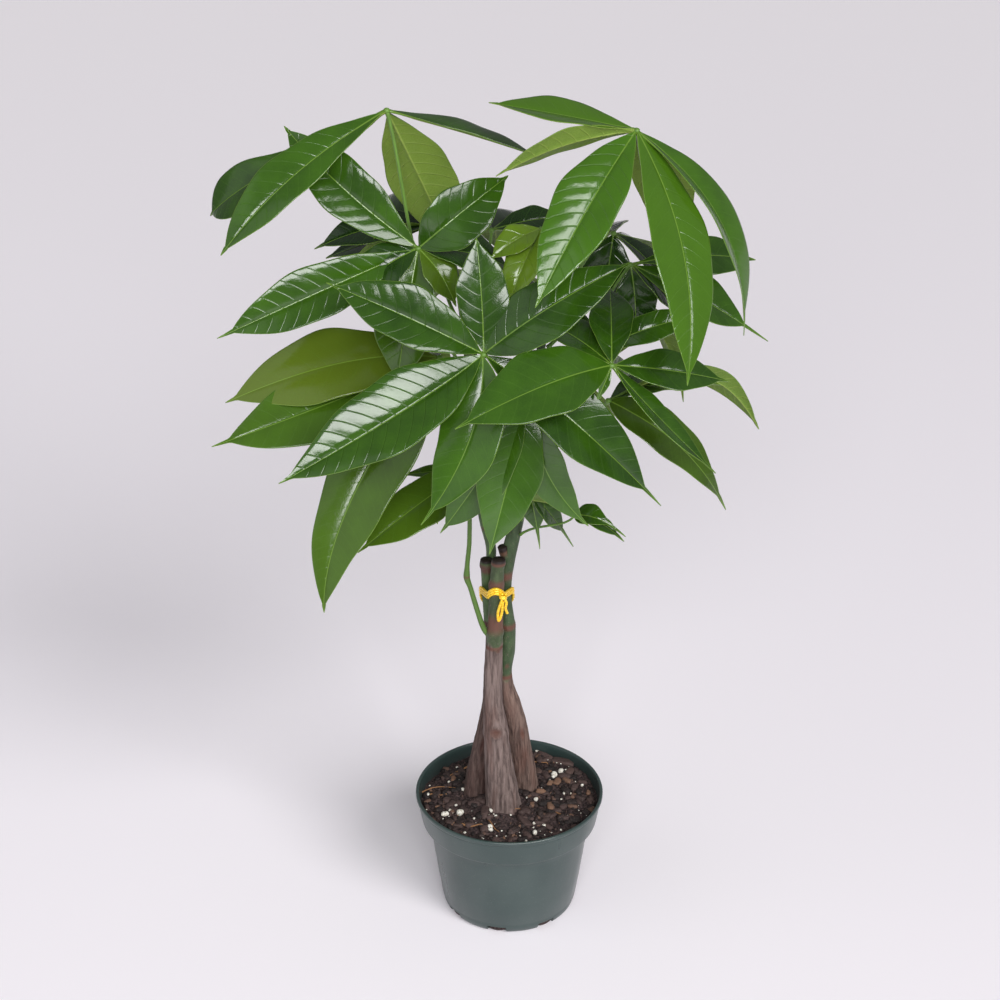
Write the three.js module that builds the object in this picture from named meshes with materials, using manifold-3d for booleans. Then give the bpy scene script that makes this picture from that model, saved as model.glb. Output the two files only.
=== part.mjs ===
// A potted money tree: three fibrous trunks tied together in a round nursery pot,
// with a crown of palmate leaves. Millimetres, +Z up. The origin is the middle of the
// pot's underside, and the front of the plant looks towards -Y.
import * as THREE from "three";
import Module from "manifold-3d";
import { mergeVertices } from "three/addons/utils/BufferGeometryUtils.js";

const wasm = await Module();
wasm.setup();

// Pot, a 6 inch azalea pot
const POT_HEIGHT = 107;
const LIP_RADIUS = 77.5;
const LIP_HEIGHT = 3.5;
const LIP_ROUND = 0.8;
const BAND_TOP_RADIUS = 76.2;
const BAND_FOOT_RADIUS = 72.5;
const BAND_FOOT_HEIGHT = 82;
const BAND_STEP = 1;
const WALL_TOP_RADIUS = 66.6;
const WALL_FOOT_RADIUS = 55.6;
const WALL_FOOT_HEIGHT = 6;
const BASE_RADIUS = 51;
const BASE_ROUND = 1.6;
const WALL = 1.6;
const FLOOR_THICKNESS = 2.4;
const POT_SIDES = 32;
const DRAIN_COUNT = 8;
const DRAIN_WIDTH = 15;
const DRAIN_HEIGHT = 3.2;
const DRAIN_DEPTH = 10;
const DRAIN_FIRST_ANGLE = 259;

// Soil
const SOIL_TOP = 98;
const SOIL_DROP_AT_WALL = 3;
const SOIL_LUMP = 1.6;
const SOIL_RINGS = 4;
const SOIL_SIDES = 24;
const CHIP_COUNT = 14;
const CHIP_LENGTH = 9;
const CHIP_THICKNESS = 3;
const CHIP_RISE = 0.6;
const CHIP_TILT = 0.5;
const CHIP_WALL_MARGIN = 8;
const SOCKET_DEPTH = 36;
const CLEARANCE = 0.35;

// Stems
const TRUNK_SIDES = 10;
const TRUNK_ROOT = 62;
const FLUTE_DEPTH = 0.035;
const SHOOT_SIDES = 8;
const STUB_FOOT = [-1, 4, 316];
const STUB_TOP = [-6, 1.5, 334];
const STUB_RADII = [4.2, 3.9];

// Leaflets
const BLADE_THICKNESS = 0.7;
const STALK_THICKNESS = 2.2;
const STALK_END = 0.17;
const LONG_BLADE = 88;
const LONG_STATIONS = [0, 0.1, 0.26, 0.46, 0.68, 0.88, 1];
const SHORT_STATIONS = [0, 0.12, 0.32, 0.6, 0.86, 1];
const BLADE_ROOT = 1.6;
const BLADE_TAIL = 0.06;
const BLADE_SKEW = 1.1;
const BLADE_FULLNESS = 0.85;
const STALK_HALF_WIDTH = 1.1;
const TAIL_HALF_WIDTH = 1.5;
const TIP_HALF_WIDTH = 0.4;
const BLADE_FOLD = 0.2;
const BLADE_BEND = 0.42;

// Leaf stalks and hubs
const HUB_RADIUS = 3.2;
const PETIOLE_RADIUS = 1.7;
const PETIOLE_SIDES = 5;
const PETIOLE_STEPS = 5;
const PETIOLE_FOOT_LENGTH = 2;
const PETIOLE_LEAVE_SHARE = 0.35;
const PETIOLE_ARRIVE_SHARE = 0.3;
const SEAT_GAP = 0.3;

// Fans of leaflets
const FAN_SPREAD = 310;
const FAN_ARCH = 0.13;

// Tie
const TIE_RADIUS = 0.9;
const TIE_SIDES = 5;
const TIE_STRANDS = 3;
const TIE_HEIGHT = 291.8;
const TIE_PITCH = 1.9;
const TIE_GAP = 0.5;
const TIE_DROP_RIGHT = 2.7;
const TIE_DROP_BACK = 4.3;
const TIE_STEPS = 16;
const KNOT_RADIUS = 3.2;
const KNOT_PLACE = [-5.3, -15.9, 298.5];
const TIE_END_STEPS = 7;
const TIE_ENDS = [
  [[0, 0, -1], [-2, -1.6, -6], [-4, -1.8, -14], [-3.5, -2, -21], [-1.2, -2, -15], [0, -1, -4]],
  [[0, 0, -1], [2.6, -1, -5], [2, -1.4, -10], [3.4, -1, -15]],
];

const group = new THREE.Group();

function paint(color, roughness, metalness = 0) {
  return new THREE.MeshStandardMaterial({ color, roughness, metalness });
}

const PLASTIC = paint(0x2f4a44, 0.5);
const SOIL = paint(0x33241f, 0.95);
const BARK = paint(0x6b5750, 0.9);
const GOLD = paint(0xd9a81c, 0.35);
const LEAF = paint(0x2c6120, 0.4);
const YOUNG_LEAF = paint(0x5f8f1e, 0.4);

const vector = (p) => new THREE.Vector3(...p);
const mix = (a, b, t) => a + (b - a) * t;

// A repeatable draw between 0 and 1.
let seed = 7;
function draw() {
  seed = (seed * 16807) % 2147483647;
  return seed / 2147483647;
}

function addNode(name, solid, material) {
  const mesh = new THREE.Mesh(geometryOf(solid), material);
  mesh.name = name;
  group.add(mesh);
}

// Solids and joining

function solidOf(points, faces) {
  const vertProperties = new Float32Array(points.flatMap((p) => [p.x, p.y, p.z]));
  const triVerts = new Uint32Array(faces.flat());
  return new wasm.Manifold(new wasm.Mesh({ numProp: 3, vertProperties, triVerts }));
}

function solidOfGeometry(geometry) {
  const bare = geometry.clone();
  bare.deleteAttribute("normal");
  bare.deleteAttribute("uv");
  const merged = mergeVertices(bare, 1e-4);
  const vertProperties = new Float32Array(merged.attributes.position.array);
  const triVerts = new Uint32Array(merged.index.array);
  return new wasm.Manifold(new wasm.Mesh({ numProp: 3, vertProperties, triVerts }));
}

function geometryOf(solid) {
  const { vertProperties, triVerts } = solid.getMesh();
  const geometry = new THREE.BufferGeometry();
  geometry.setAttribute("position", new THREE.BufferAttribute(vertProperties, 3));
  geometry.setIndex(new THREE.BufferAttribute(triVerts, 1));
  geometry.computeVertexNormals();
  return geometry;
}

// Rings of equal count, each counterclockwise seen from the far end, become one closed solid.
function loft(rings) {
  const count = rings[0].length;
  const faces = [];
  for (let i = 0; i + 1 < rings.length; i += 1) {
    for (let k = 0; k < count; k += 1) {
      const a = i * count + k;
      const b = i * count + ((k + 1) % count);
      faces.push([a, b, b + count], [a, b + count, a + count]);
    }
  }
  const last = (rings.length - 1) * count;
  for (let k = 1; k + 1 < count; k += 1) {
    faces.push([0, k + 1, k], [last, last + k, last + k + 1]);
  }
  return solidOf(rings.flat(), faces);
}

function circle(radius, sides, heightOf) {
  const ring = [];
  for (let k = 0; k < sides; k += 1) {
    const turn = (2 * Math.PI * k) / sides;
    ring.push(new THREE.Vector3(radius * Math.cos(turn), radius * Math.sin(turn), heightOf()));
  }
  return ring;
}

// A round bar along a list of points, with one radius for each point.
function bar(points, radii, sides) {
  const ahead = (i) => points[Math.min(i + 1, points.length - 1)].clone();
  const behind = (i) => points[Math.max(i - 1, 0)];
  const first = ahead(0).sub(behind(0)).normalize();
  let side = Math.abs(first.y) > 0.9 ? new THREE.Vector3(1, 0, 0) : new THREE.Vector3(0, 1, 0);
  const rings = points.map((point, i) => {
    const along = ahead(i).sub(behind(i)).normalize();
    side = side.clone().addScaledVector(along, -side.dot(along)).normalize();
    const other = along.clone().cross(side);
    return circle(radii[i], sides, () => 0).map(({ x, y }) =>
      point.clone().addScaledVector(side, x).addScaledVector(other, y)
    );
  });
  return loft(rings);
}

// Pot

function potSolid() {
  const lipFoot = POT_HEIGHT - LIP_HEIGHT;
  const stepTop = BAND_FOOT_HEIGHT - BAND_STEP;
  const outer = [
    [0, 0],
    [BASE_RADIUS, 0],
    [WALL_FOOT_RADIUS - BASE_ROUND, BASE_ROUND],
    [WALL_FOOT_RADIUS, WALL_FOOT_HEIGHT],
    [WALL_TOP_RADIUS, stepTop],
    [BAND_FOOT_RADIUS, BAND_FOOT_HEIGHT],
    [BAND_TOP_RADIUS, lipFoot],
    [LIP_RADIUS, lipFoot + LIP_ROUND],
    [LIP_RADIUS, POT_HEIGHT - LIP_ROUND],
    [LIP_RADIUS - LIP_ROUND, POT_HEIGHT],
  ];
  const inner = [
    [BAND_TOP_RADIUS - WALL, POT_HEIGHT],
    [BAND_TOP_RADIUS - WALL, lipFoot],
    [BAND_FOOT_RADIUS - WALL, BAND_FOOT_HEIGHT + WALL],
    [WALL_TOP_RADIUS - WALL, stepTop + WALL],
    [WALL_FOOT_RADIUS - WALL, WALL_FOOT_HEIGHT],
    [BASE_RADIUS - WALL, FLOOR_THICKNESS],
    [0, FLOOR_THICKNESS],
  ];
  const profile = [...outer, ...inner].map(([r, z]) => new THREE.Vector2(r, z));
  const geometry = new THREE.LatheGeometry(profile, POT_SIDES).rotateX(Math.PI / 2);
  let pot = solidOfGeometry(geometry);
  for (let i = 0; i < DRAIN_COUNT; i += 1) {
    const turn = THREE.MathUtils.degToRad(DRAIN_FIRST_ANGLE + (360 * i) / DRAIN_COUNT);
    const cutter = new THREE.BoxGeometry(DRAIN_DEPTH, DRAIN_WIDTH, 2 * DRAIN_HEIGHT);
    cutter.translate(WALL_FOOT_RADIUS, 0, 0).rotateZ(turn);
    pot = pot.subtract(solidOfGeometry(cutter));
  }
  return pot;
}

// Stems: rows of [x, y, z, radius] up each centreline

const STEMS = {
  front: [
    [-5, -15, TRUNK_ROOT, 14],
    [-5, -15, 100, 14],
    [-6, -14.5, 112, 14],
    [-8.5, -13.5, 140, 12],
    [-10.5, -13, 166, 10.3],
    [-11, -12.6, 171, 10.9],
    [-11.3, -12.4, 177, 10],
    [-13.6, -10.5, 205, 8],
    [-13.2, -10, 228, 7.4],
    [-12.3, -9.4, 248, 6.7],
    [-12, -9.2, 258, 6.6],
    [-11.8, -9, 263, 7.4],
    [-11.5, -8.8, 268, 6.3],
    [-10.8, -8, 290, 5.9],
    [-10.4, -8, 306, 6.4],
    [-10, -8, 310, 5.6],
    [-9.2, -8, 322, 5.3],
    [-8.9, -8, 324, 5.9],
    [-8.6, -8, 328, 5.2],
  ],
  right: [
    [13, 14, TRUNK_ROOT, 10.5],
    [13, 14, 100, 10.5],
    [12, 13.4, 112, 11],
    [8.5, 11, 140, 10],
    [5, 9, 165, 9.6],
    [0, 6.6, 190, 8.6],
    [-3.4, 5.4, 207, 6.6],
    [-4.2, 5.2, 213, 6.6],
    [-4.3, 5, 218, 6.3],
    [-2, 4.8, 240, 6.6],
    [-1.6, 4.6, 258, 6.5],
    [-2.2, 4.7, 262, 7.2],
    [-2.5, 4.6, 267, 6.4],
    [-4, 4.4, 292, 5.4],
    [-3.6, 4.4, 306, 5.8],
    [-2.6, 4.8, 316, 6.4],
    [1.5, 5.5, 336, 6],
    [6, 7, 356, 5.4],
    [11, 9, 390, 4.8],
    [15, 10, 425, 4.4],
    [20, 11, 465, 3.8],
    [24, 11, 505, 3.3],
    [28, 8, 545, 2.7],
    [34, 2, 572, 2.2],
  ],
  left: [
    [-27, 5, TRUNK_ROOT, 10.5],
    [-27, 5, 100, 10.5],
    [-26.4, 5.4, 112, 10.4],
    [-22.6, 6.6, 140, 9],
    [-18.6, 8, 165, 7.4],
    [-15.6, 10.5, 190, 6.2],
    [-15, 12, 215, 5.6],
    [-14, 10.5, 250, 5.2],
    [-15, 9, 262, 5.8],
    [-15.8, 7.8, 268, 5.2],
    [-17.2, 5, 292, 4.9],
    [-17.8, 4.8, 312, 5.2],
    [-18.1, 5, 315, 5.8],
    [-18.4, 5, 321, 4.8],
  ],
  back: [
    [-15, 9, 304, 3.2],
    [-14.6, 13.6, 322, 4],
    [-20, 15, 350, 4],
    [-25, 16, 385, 3.9],
    [-28, 16, 425, 3.6],
    [-30, 14, 465, 3.3],
    [-33, 11, 505, 3],
    [-38, 8, 545, 2.5],
    [-43, 4, 575, 2.1],
  ],
  side: [
    [-16, -9.5, 259, 2.2],
    [-20.5, -9.5, 266, 2.2],
    [-25.4, -8.5, 281, 2.1],
    [-31, -7, 302, 2],
    [-33.8, -6.6, 312, 2.6],
    [-33.4, -7, 322, 1.9],
    [-31.6, -10, 345, 1.8],
    [-31, -16, 375, 1.7],
    [-32, -22, 396, 1.6],
  ],
};
const TRUNKS = ["front", "right", "left"];

function stemAt(name, z) {
  const rows = STEMS[name];
  const i = rows.findIndex((row, k) => k > 0 && row[2] >= z);
  const [low, high] = [rows[i - 1], rows[i]];
  const t = (z - low[2]) / (high[2] - low[2]);
  return low.map((value, k) => mix(value, high[k], t));
}

// Level rings, fluted as the bark is.
function trunkSolid(name) {
  const rings = STEMS[name].map(([x, y, z, radius]) =>
    circle(1, TRUNK_SIDES, () => z).map((point, k) => {
      const turn = (2 * Math.PI * k) / TRUNK_SIDES;
      const wave = Math.sin(5 * turn + z / 23) + Math.sin(3 * turn - z / 31);
      const reach = radius * (1 - (FLUTE_DEPTH * (2 + wave)) / 4);
      return new THREE.Vector3(x + reach * point.x, y + reach * point.y, z);
    })
  );
  return loft(rings);
}

function shootSolid(name) {
  const rows = STEMS[name];
  const points = rows.map((row) => vector(row));
  const radii = rows.map((row) => row[3]);
  return bar(points, radii, SHOOT_SIDES);
}

function stubSolid() {
  return bar([vector(STUB_FOOT), vector(STUB_TOP)], STUB_RADII, SHOOT_SIDES);
}

// Soil

function socketSolid(name) {
  const [x, y, , radius] = STEMS[name][0];
  const reach = radius + CLEARANCE;
  const socket = new THREE.CylinderGeometry(reach, reach, 2 * SOCKET_DEPTH, 2 * TRUNK_SIDES);
  socket.rotateX(Math.PI / 2).translate(x, y, TRUNK_ROOT - CLEARANCE + SOCKET_DEPTH);
  return solidOfGeometry(socket);
}

function nearTrunk(x, y, reach) {
  return TRUNKS.some((name) => {
    const [cx, cy, , radius] = STEMS[name][0];
    return Math.hypot(x - cx, y - cy) < radius + reach;
  });
}

function chipSolid(x, y) {
  const length = CHIP_LENGTH * mix(0.6, 1.5, draw());
  const width = length * mix(0.4, 0.65, draw());
  const chip = new THREE.BoxGeometry(length, width, CHIP_THICKNESS);
  chip.rotateX(CHIP_TILT * (draw() - 0.5)).rotateY(CHIP_TILT * (draw() - 0.5));
  chip.rotateZ(Math.PI * draw()).translate(x, y, SOIL_TOP + CHIP_RISE);
  return solidOfGeometry(chip);
}

function soilSolid() {
  const inset = WALL + CLEARANCE;
  const edge = mix(BAND_FOOT_RADIUS, BAND_TOP_RADIUS, 0.5) - inset;
  const profile = [
    [BASE_RADIUS - inset - 1, FLOOR_THICKNESS + CLEARANCE],
    [WALL_FOOT_RADIUS - inset, WALL_FOOT_HEIGHT + inset],
    [WALL_TOP_RADIUS - inset - 0.5, BAND_FOOT_HEIGHT + WALL / 2],
    [BAND_FOOT_RADIUS - inset, BAND_FOOT_HEIGHT + 2 * WALL],
    [edge, SOIL_TOP - SOIL_DROP_AT_WALL],
  ];
  const rings = profile.map(([radius, z]) => circle(radius, SOIL_SIDES, () => z));
  for (let i = 1; i <= SOIL_RINGS; i += 1) {
    const radius = edge * (1 - i / (SOIL_RINGS + 0.5));
    rings.push(circle(radius, SOIL_SIDES, () => SOIL_TOP + SOIL_LUMP * (2 * draw() - 1)));
  }
  let soil = loft(rings);
  for (let i = 0; i < CHIP_COUNT; i += 1) {
    const reach = (edge - CHIP_WALL_MARGIN) * Math.sqrt(draw());
    const turn = 2 * Math.PI * draw();
    const [x, y] = [reach * Math.cos(turn), reach * Math.sin(turn)];
    if (!nearTrunk(x, y, CHIP_LENGTH)) soil = soil.add(chipSolid(x, y));
  }
  TRUNKS.forEach((name) => {
    soil = soil.subtract(socketSolid(name));
  });
  return soil;
}

// Leaflets

// Half the width of a blade, from its stalk at 0 to its tip at 1. A larger skew moves the
// widest part outwards, and tail is the share of the length that is the narrow drip tip.
function halfWidth(t, { width, skew = BLADE_SKEW, tail: drip = BLADE_TAIL }) {
  const body = Math.sin(Math.PI * Math.min(t / (1 - drip), 1) ** skew);
  const tail = mix(TIP_HALF_WIDTH, TAIL_HALF_WIDTH, Math.min((1 - t) / drip, 1));
  const stalk = t < 0.5 ? STALK_HALF_WIDTH : tail;
  return Math.max((width / 2) * Math.max(body, 0) ** BLADE_FULLNESS, stalk);
}

// The midrib is a parabola from the hub to the tip. It bulges by arch towards the upper
// side, and by sway towards one edge, most of all where bend says. The two halves of the
// blade fold up from it.
function bladeSolid(hub, up, leaflet) {
  const { tip, arch, sway = 0, bend = BLADE_BEND, face = up } = leaflet;
  const chord = vector(tip);
  const along = chord.clone().normalize();
  const normal = vector(face).addScaledVector(along, -along.dot(vector(face))).normalize();
  const side = along.clone().cross(normal);
  const bulge = normal.clone().multiplyScalar(2 * arch).addScaledVector(side, 2 * sway);
  const peak = bulge.addScaledVector(chord, bend);
  const root = vector(hub).addScaledVector(along, BLADE_ROOT);
  const stations = chord.length() > LONG_BLADE ? LONG_STATIONS : SHORT_STATIONS;
  const rings = stations.map((t) => {
    const middle = root.clone().addScaledVector(peak, 2 * t * (1 - t)).addScaledVector(chord, t * t);
    const heading = peak.clone().multiplyScalar(2 - 4 * t).addScaledVector(chord, 2 * t).normalize();
    const across = side.clone().addScaledVector(heading, -heading.dot(side)).normalize();
    const above = across.clone().cross(heading);
    const half = halfWidth(t, leaflet);
    const thickness = mix(STALK_THICKNESS, BLADE_THICKNESS, Math.min(t / STALK_END, 1)) / 2;
    const rise = half * Math.sin(BLADE_FOLD);
    const reach = half * Math.cos(BLADE_FOLD);
    const place = (edge, layer) =>
      middle
        .clone()
        .addScaledVector(across, edge * reach)
        .addScaledVector(above, Math.abs(edge) * rise + layer * thickness);
    return [place(-1, 1), place(0, 1), place(1, 1), place(1, -1), place(0, -1), place(-1, -1)];
  });
  return bladeLoft(rings);
}

// Both faces of each strip are split along the same diagonal.
function bladeLoft(rings) {
  const step = rings[0].length;
  const faces = [];
  const quad = (a, b, c, d) => faces.push([a, c, b], [a, d, c]);
  for (let i = 0; i + 1 < rings.length; i += 1) {
    const [lt, mt, rt, rb, mb, lb] = rings[0].map((_, k) => step * i + k);
    quad(lt, lt + step, mt + step, mt);
    faces.push([mt, rt, mt + step], [rt, rt + step, mt + step]);
    faces.push([lb, lb + step, mb + step], [lb, mb + step, mb]);
    faces.push([mb, mb + step, rb], [rb, mb + step, rb + step]);
    quad(rt, rt + step, rb + step, rb);
    quad(lb, lb + step, lt + step, lt);
  }
  const end = step * (rings.length - 1);
  [[0, 1, 4], [0, 4, 5], [1, 2, 3], [1, 3, 4]].forEach(([a, b, c]) => {
    faces.push([a, c, b], [end + a, end + b, end + c]);
  });
  return solidOf(rings.flat(), faces);
}

// The foot of a leaf stalk sits against its stem, and the stalk leaves it at 45 degrees.
function petioleSolid({ stem, at, hub, up, radius = PETIOLE_RADIUS }) {
  const [x, y, z, stemRadius] = stemAt(stem, at);
  const target = vector(hub);
  const out = new THREE.Vector3(target.x - x, target.y - y, 0).normalize();
  const start = new THREE.Vector3(out.x, out.y, 1).normalize();
  const seat = stemRadius + SEAT_GAP + radius * Math.SQRT1_2;
  const foot = new THREE.Vector3(x, y, z).addScaledVector(out, seat);
  const span = foot.distanceTo(target);
  const leave = foot.clone().addScaledVector(start, PETIOLE_LEAVE_SHARE * span);
  const arrive = target.clone().addScaledVector(vector(up).normalize(), -PETIOLE_ARRIVE_SHARE * span);
  const curve = new THREE.CubicBezierCurve3(foot, leave, arrive, target).getPoints(PETIOLE_STEPS);
  const collar = foot.clone().addScaledVector(start, PETIOLE_FOOT_LENGTH);
  const points = [foot, collar, ...curve.slice(1)];
  const radii = points.map((_, i) => (i < 2 ? radius : radius * mix(0.85, 0.7, i / points.length)));
  return bar(points, radii, PETIOLE_SIDES);
}

function knobSolid(place, radius) {
  return solidOfGeometry(new THREE.IcosahedronGeometry(radius, 0).translate(...place));
}

function leafSolid(leaf) {
  const knob = knobSolid(leaf.hub, leaf.knob ?? HUB_RADIUS);
  const blades = leaf.leaflets.map((leaflet) => bladeSolid(leaf.hub, leaf.up, leaflet));
  return wasm.Manifold.union([petioleSolid(leaf), knob, ...blades]);
}

// An even fan of leaflets round the hub, the longest pointing away from the stem.
function fan({ hub, up, stem, at, count, length, width, droop, turn = 0 }) {
  const axis = vector(up).normalize();
  const [x, y, z] = stemAt(stem, at);
  const away = vector(hub).sub(new THREE.Vector3(x, y, z));
  const first = away.addScaledVector(axis, -axis.dot(away)).normalize();
  const leaflets = [];
  for (let k = 0; k < count; k += 1) {
    const place = k - (count - 1) / 2;
    const angle = THREE.MathUtils.degToRad(turn + (place * FAN_SPREAD) / count);
    const share = 1 - 0.1 * Math.abs(place) + 0.06 * Math.sin(5 * k + hub[0]);
    const fall = THREE.MathUtils.degToRad(droop + 6 * Math.sin(3 * k + hub[1]));
    const ray = first.clone().applyAxisAngle(axis, angle).multiplyScalar(Math.cos(fall));
    ray.addScaledVector(axis, -Math.sin(fall)).multiplyScalar(length * share);
    leaflets.push({ tip: ray.toArray(), width: width * share, arch: FAN_ARCH * length });
  }
  return leaflets;
}

// Each leaf has the stem and height that it grows from, its hub, the way its upper side
// looks, and its leaflets, whose tips are measured from the hub.
const LEAVES = [
  {
    name: "leaf_top_left", stem: "back", at: 500, hub: [-87, -35, 700], up: [-0.2, -0.3, 0.93],
    leaflets: [
      { tip: [-110, -60, -82], width: 38, arch: 12, sway: 4, skew: 1.25, face: [-0.1, -0.65, 0.7] },
      { tip: [100, 10, -33], width: 34, arch: 2, face: [0.1, 0.1, 1] },
      { tip: [49, 45, -120], width: 50, arch: 6, sway: -1, skew: 1.25, face: [0.1, 1, 0] },
      { tip: [-127, 5, -79], width: 44, arch: 13, bend: 0.75, skew: 1.8, face: [-0.2, -0.5, 0.8] },
      { tip: [-69, 75, -76], width: 26, arch: -6, skew: 1.5, face: [-0.3, 0.4, 0.85] },
    ],
  },
  {
    name: "leaf_upper_left", stem: "back", at: 480, hub: [-66, -50, 603], up: [-0.1, -0.7, 0.7],
    leaflets: [
      { tip: [-94, 35, 77], width: 42, arch: 8, sway: -5 },
      { tip: [63, 30, 41], width: 40, arch: 8, face: [0.1, -0.75, 0.65] },
      { tip: [-136, -35, -54], width: 46, arch: 9, skew: 1.35, face: [-0.1, -0.8, 0.6] },
      { tip: [-53, -10, -45], width: 34, arch: 8 },
      { tip: [-16, -20, -97], width: 46, arch: 8, face: [-0.1, -0.95, 0.2] },
      { tip: [26, -15, -35], width: 24, arch: 5 },
      { tip: [62, 25, -23], width: 34, arch: 8, face: [0, -0.5, 0.85] },
    ],
  },
  {
    name: "leaf_front", stem: "back", at: 440, hub: [-19, -115, 549], up: [0, -0.8, 0.6],
    leaflets: [
      { tip: [-103, 15, 50], width: 42, arch: 12, face: [-0.15, -0.7, 0.7] },
      { tip: [-2, 40, 64], width: 34, arch: 8, face: [0, -0.85, 0.5] },
      { tip: [104, 20, 54], width: 40, arch: 12, face: [0.1, -0.7, 0.7] },
      { tip: [-139, -50, -75], width: 48, arch: 9, face: [-0.1, -0.75, 0.6] },
      { tip: [-37, -38, -116], width: 46, arch: 10, sway: -13, face: [-0.1, -0.95, 0.3] },
      { tip: [127, -15, -107], width: 46, arch: 12, tail: 0.12, face: [0.2, -0.75, 0.65] },
    ],
  },
  {
    name: "leaf_front_right", stem: "right", at: 430, hub: [70, -125, 545], up: [0.2, -0.75, 0.65],
    leaflets: [
      { tip: [-107, -45, -29], width: 46, arch: 14, face: [-0.1, -0.8, 0.6] },
      { tip: [3, 70, 29], width: 32, arch: 8, face: [0, -0.5, 0.85] },
      { tip: [-56, 65, 10], width: 30, arch: 6, face: [0, -0.3, 0.95] },
      { tip: [85, 20, -21], width: 36, arch: 4, face: [0.1, -0.6, 0.8] },
      { tip: [80, 30, -31], width: 28, arch: 4, face: [0.2, -0.6, 0.8] },
      { tip: [77, -25, -69], width: 22, arch: 1, face: [0.6, -0.4, 0.7] },
      { tip: [-4, -5, -23], width: 8, arch: 2 },
    ],
  },
  {
    name: "leaf_low_right", stem: "right", at: 400, hub: [70, -92, 503], up: [0.3, -0.6, 0.7],
    leaflets: [
      { tip: [84, -15, -79], width: 34, arch: 21, skew: 0.9, face: [0.3, -0.6, 0.75] },
      { tip: [112, 37, -38], width: 32, arch: 40, bend: 0.6, face: [0.3, 0.85, 0.45] },
      { tip: [60, 65, -30], width: 30, arch: 8, face: [0.3, 0, 0.95] },
    ],
  },
  {
    name: "leaf_top_right", stem: "right", at: 540, hub: [87, -55, 692], up: [0.1, -0.3, 0.95],
    leaflets: [
      { tip: [-96, 5, 21], width: 34, arch: 1, face: [0, -0.15, 1] },
      { tip: [-92, -40, -19], width: 36, arch: 8, skew: 1.3, face: [-0.1, 0.75, 0.6] },
      { tip: [-72, -90, -88], width: 50, arch: 7, face: [-0.15, -0.85, 0.5] },
      { tip: [37, -100, -146], width: 54, arch: 18, bend: 0.5, skew: 1.45, face: [0.5, -0.6, 0.6] },
      { tip: [81, -25, -139], width: 32, arch: 26, bend: 0.5, skew: 1.4, face: [0.8, -0.3, 0.45] },
      { tip: [44, 35, -70], width: 34, arch: 2, face: [0.3, 0.8, 0.5] },
      { tip: [14, 20, -73], width: 30, arch: 6, face: [0, 0.95, 0.2] },
    ],
  },
  {
    name: "leaf_inner_right", stem: "right", at: 500, hub: [76, 10, 592], up: [0.1, 0, 1],
    leaflets: [
      { tip: [-5, 0, -58], width: 30, arch: 5, face: [0, -0.9, 0.3] },
      { tip: [46, 10, -61], width: 28, arch: 7, face: [0.6, -0.3, 0.7] },
      { tip: [-10, 90, -45], width: 36, arch: 10, face: [0, 0.3, 0.95] },
      { tip: [60, 75, -62], width: 36, arch: 6, skew: 1.3, face: [0.3, 0.3, 0.9] },
    ],
  },
  {
    name: "leaf_right", stem: "right", at: 470, hub: [88, -10, 575], up: [0.5, -0.3, 0.8],
    leaflets: [
      { tip: [5, 0, -56], width: 32, arch: 4, face: [0.1, -0.95, 0.2] },
      { tip: [34, -5, -38], width: 28, arch: 6 },
      { tip: [91, 25, -4], width: 38, arch: 9, skew: 1.6, face: [0.1, -0.6, 0.75] },
      { tip: [103, -5, -53], width: 36, arch: 5, tail: 0.18, skew: 1.2, face: [0.3, -0.5, 0.75] },
    ],
  },
  {
    name: "leaf_inner_front", stem: "right", at: 415, hub: [66, -38, 520], up: [0.2, -0.5, 0.85],
    leaflets: [
      { tip: [78, 8, 22], width: 24, arch: 12, face: [0.1, -0.7, 0.7] },
      { tip: [-40, 10, 20], width: 26, arch: 6 },
      { tip: [46, 52, -62], width: 24, arch: 4 },
    ],
  },
  {
    name: "leaf_top_back", stem: "back", at: 540, hub: [-14, 35, 585], up: [0, 0.2, 1],
    leaflets: [
      { tip: [47, 15, 9], width: 26, arch: 6, face: [0, -0.5, 0.85] },
      { tip: [60, 70, -40], width: 36, arch: 12 },
      { tip: [10, 105, -55], width: 42, arch: 14 },
      { tip: [-45, 85, -50], width: 38, arch: 12 },
    ],
  },
  {
    name: "leaf_young", stem: "right", at: 560, hub: [22, -15, 605], up: [-0.3, -0.7, 0.6], radius: 1.3,
    leaflets: [
      { tip: [-36, -20, -15], width: 24, arch: 5 },
      { tip: [-25, -30, -40], width: 26, arch: 6 },
      { tip: [14, -10, -30], width: 14, arch: 3 },
    ],
  },
  {
    name: "leaf_left_back", stem: "back", at: 520, hub: [-60, 30, 591], up: [-0.3, -0.1, 0.95],
    leaflets: [
      { tip: [-87, -15, -13], width: 34, arch: 7, face: [-0.1, -0.5, 0.85] },
      { tip: [-75, 0, -26], width: 28, arch: 4, face: [-0.1, -0.3, 0.95] },
      { tip: [-57, -30, -18], width: 28, arch: 4, face: [-0.1, 0.7, 0.7] },
      { tip: [-60, 85, -50], width: 40, arch: 14 },
    ],
  },
  {
    name: "leaf_left", stem: "back", at: 420, hub: [-52, -40, 514], up: [-0.5, -0.5, 0.7],
    leaflets: [
      { tip: [-157, -20, -24], width: 50, arch: 17, sway: 5, face: [0, -0.7, 0.7] },
      { tip: [-163, -50, -48], width: 50, arch: 8, sway: -4, skew: 1.4, face: [-0.1, -0.8, 0.6] },
      { tip: [-84, -75, -169], width: 53, arch: 14, sway: 14, bend: 0.5, face: [-0.35, -0.85, 0.3] },
      { tip: [-104, 48, -66], width: 38, arch: 8, face: [-0.3, 0.1, 0.9] },
      { tip: [-30, 85, -50], width: 34, arch: 10, face: [-0.2, 0.4, 0.9] },
    ],
  },
  {
    name: "leaf_low_left", stem: "side", at: 380, hub: [-27, -30, 420], up: [-0.3, -0.5, 0.8],
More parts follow.
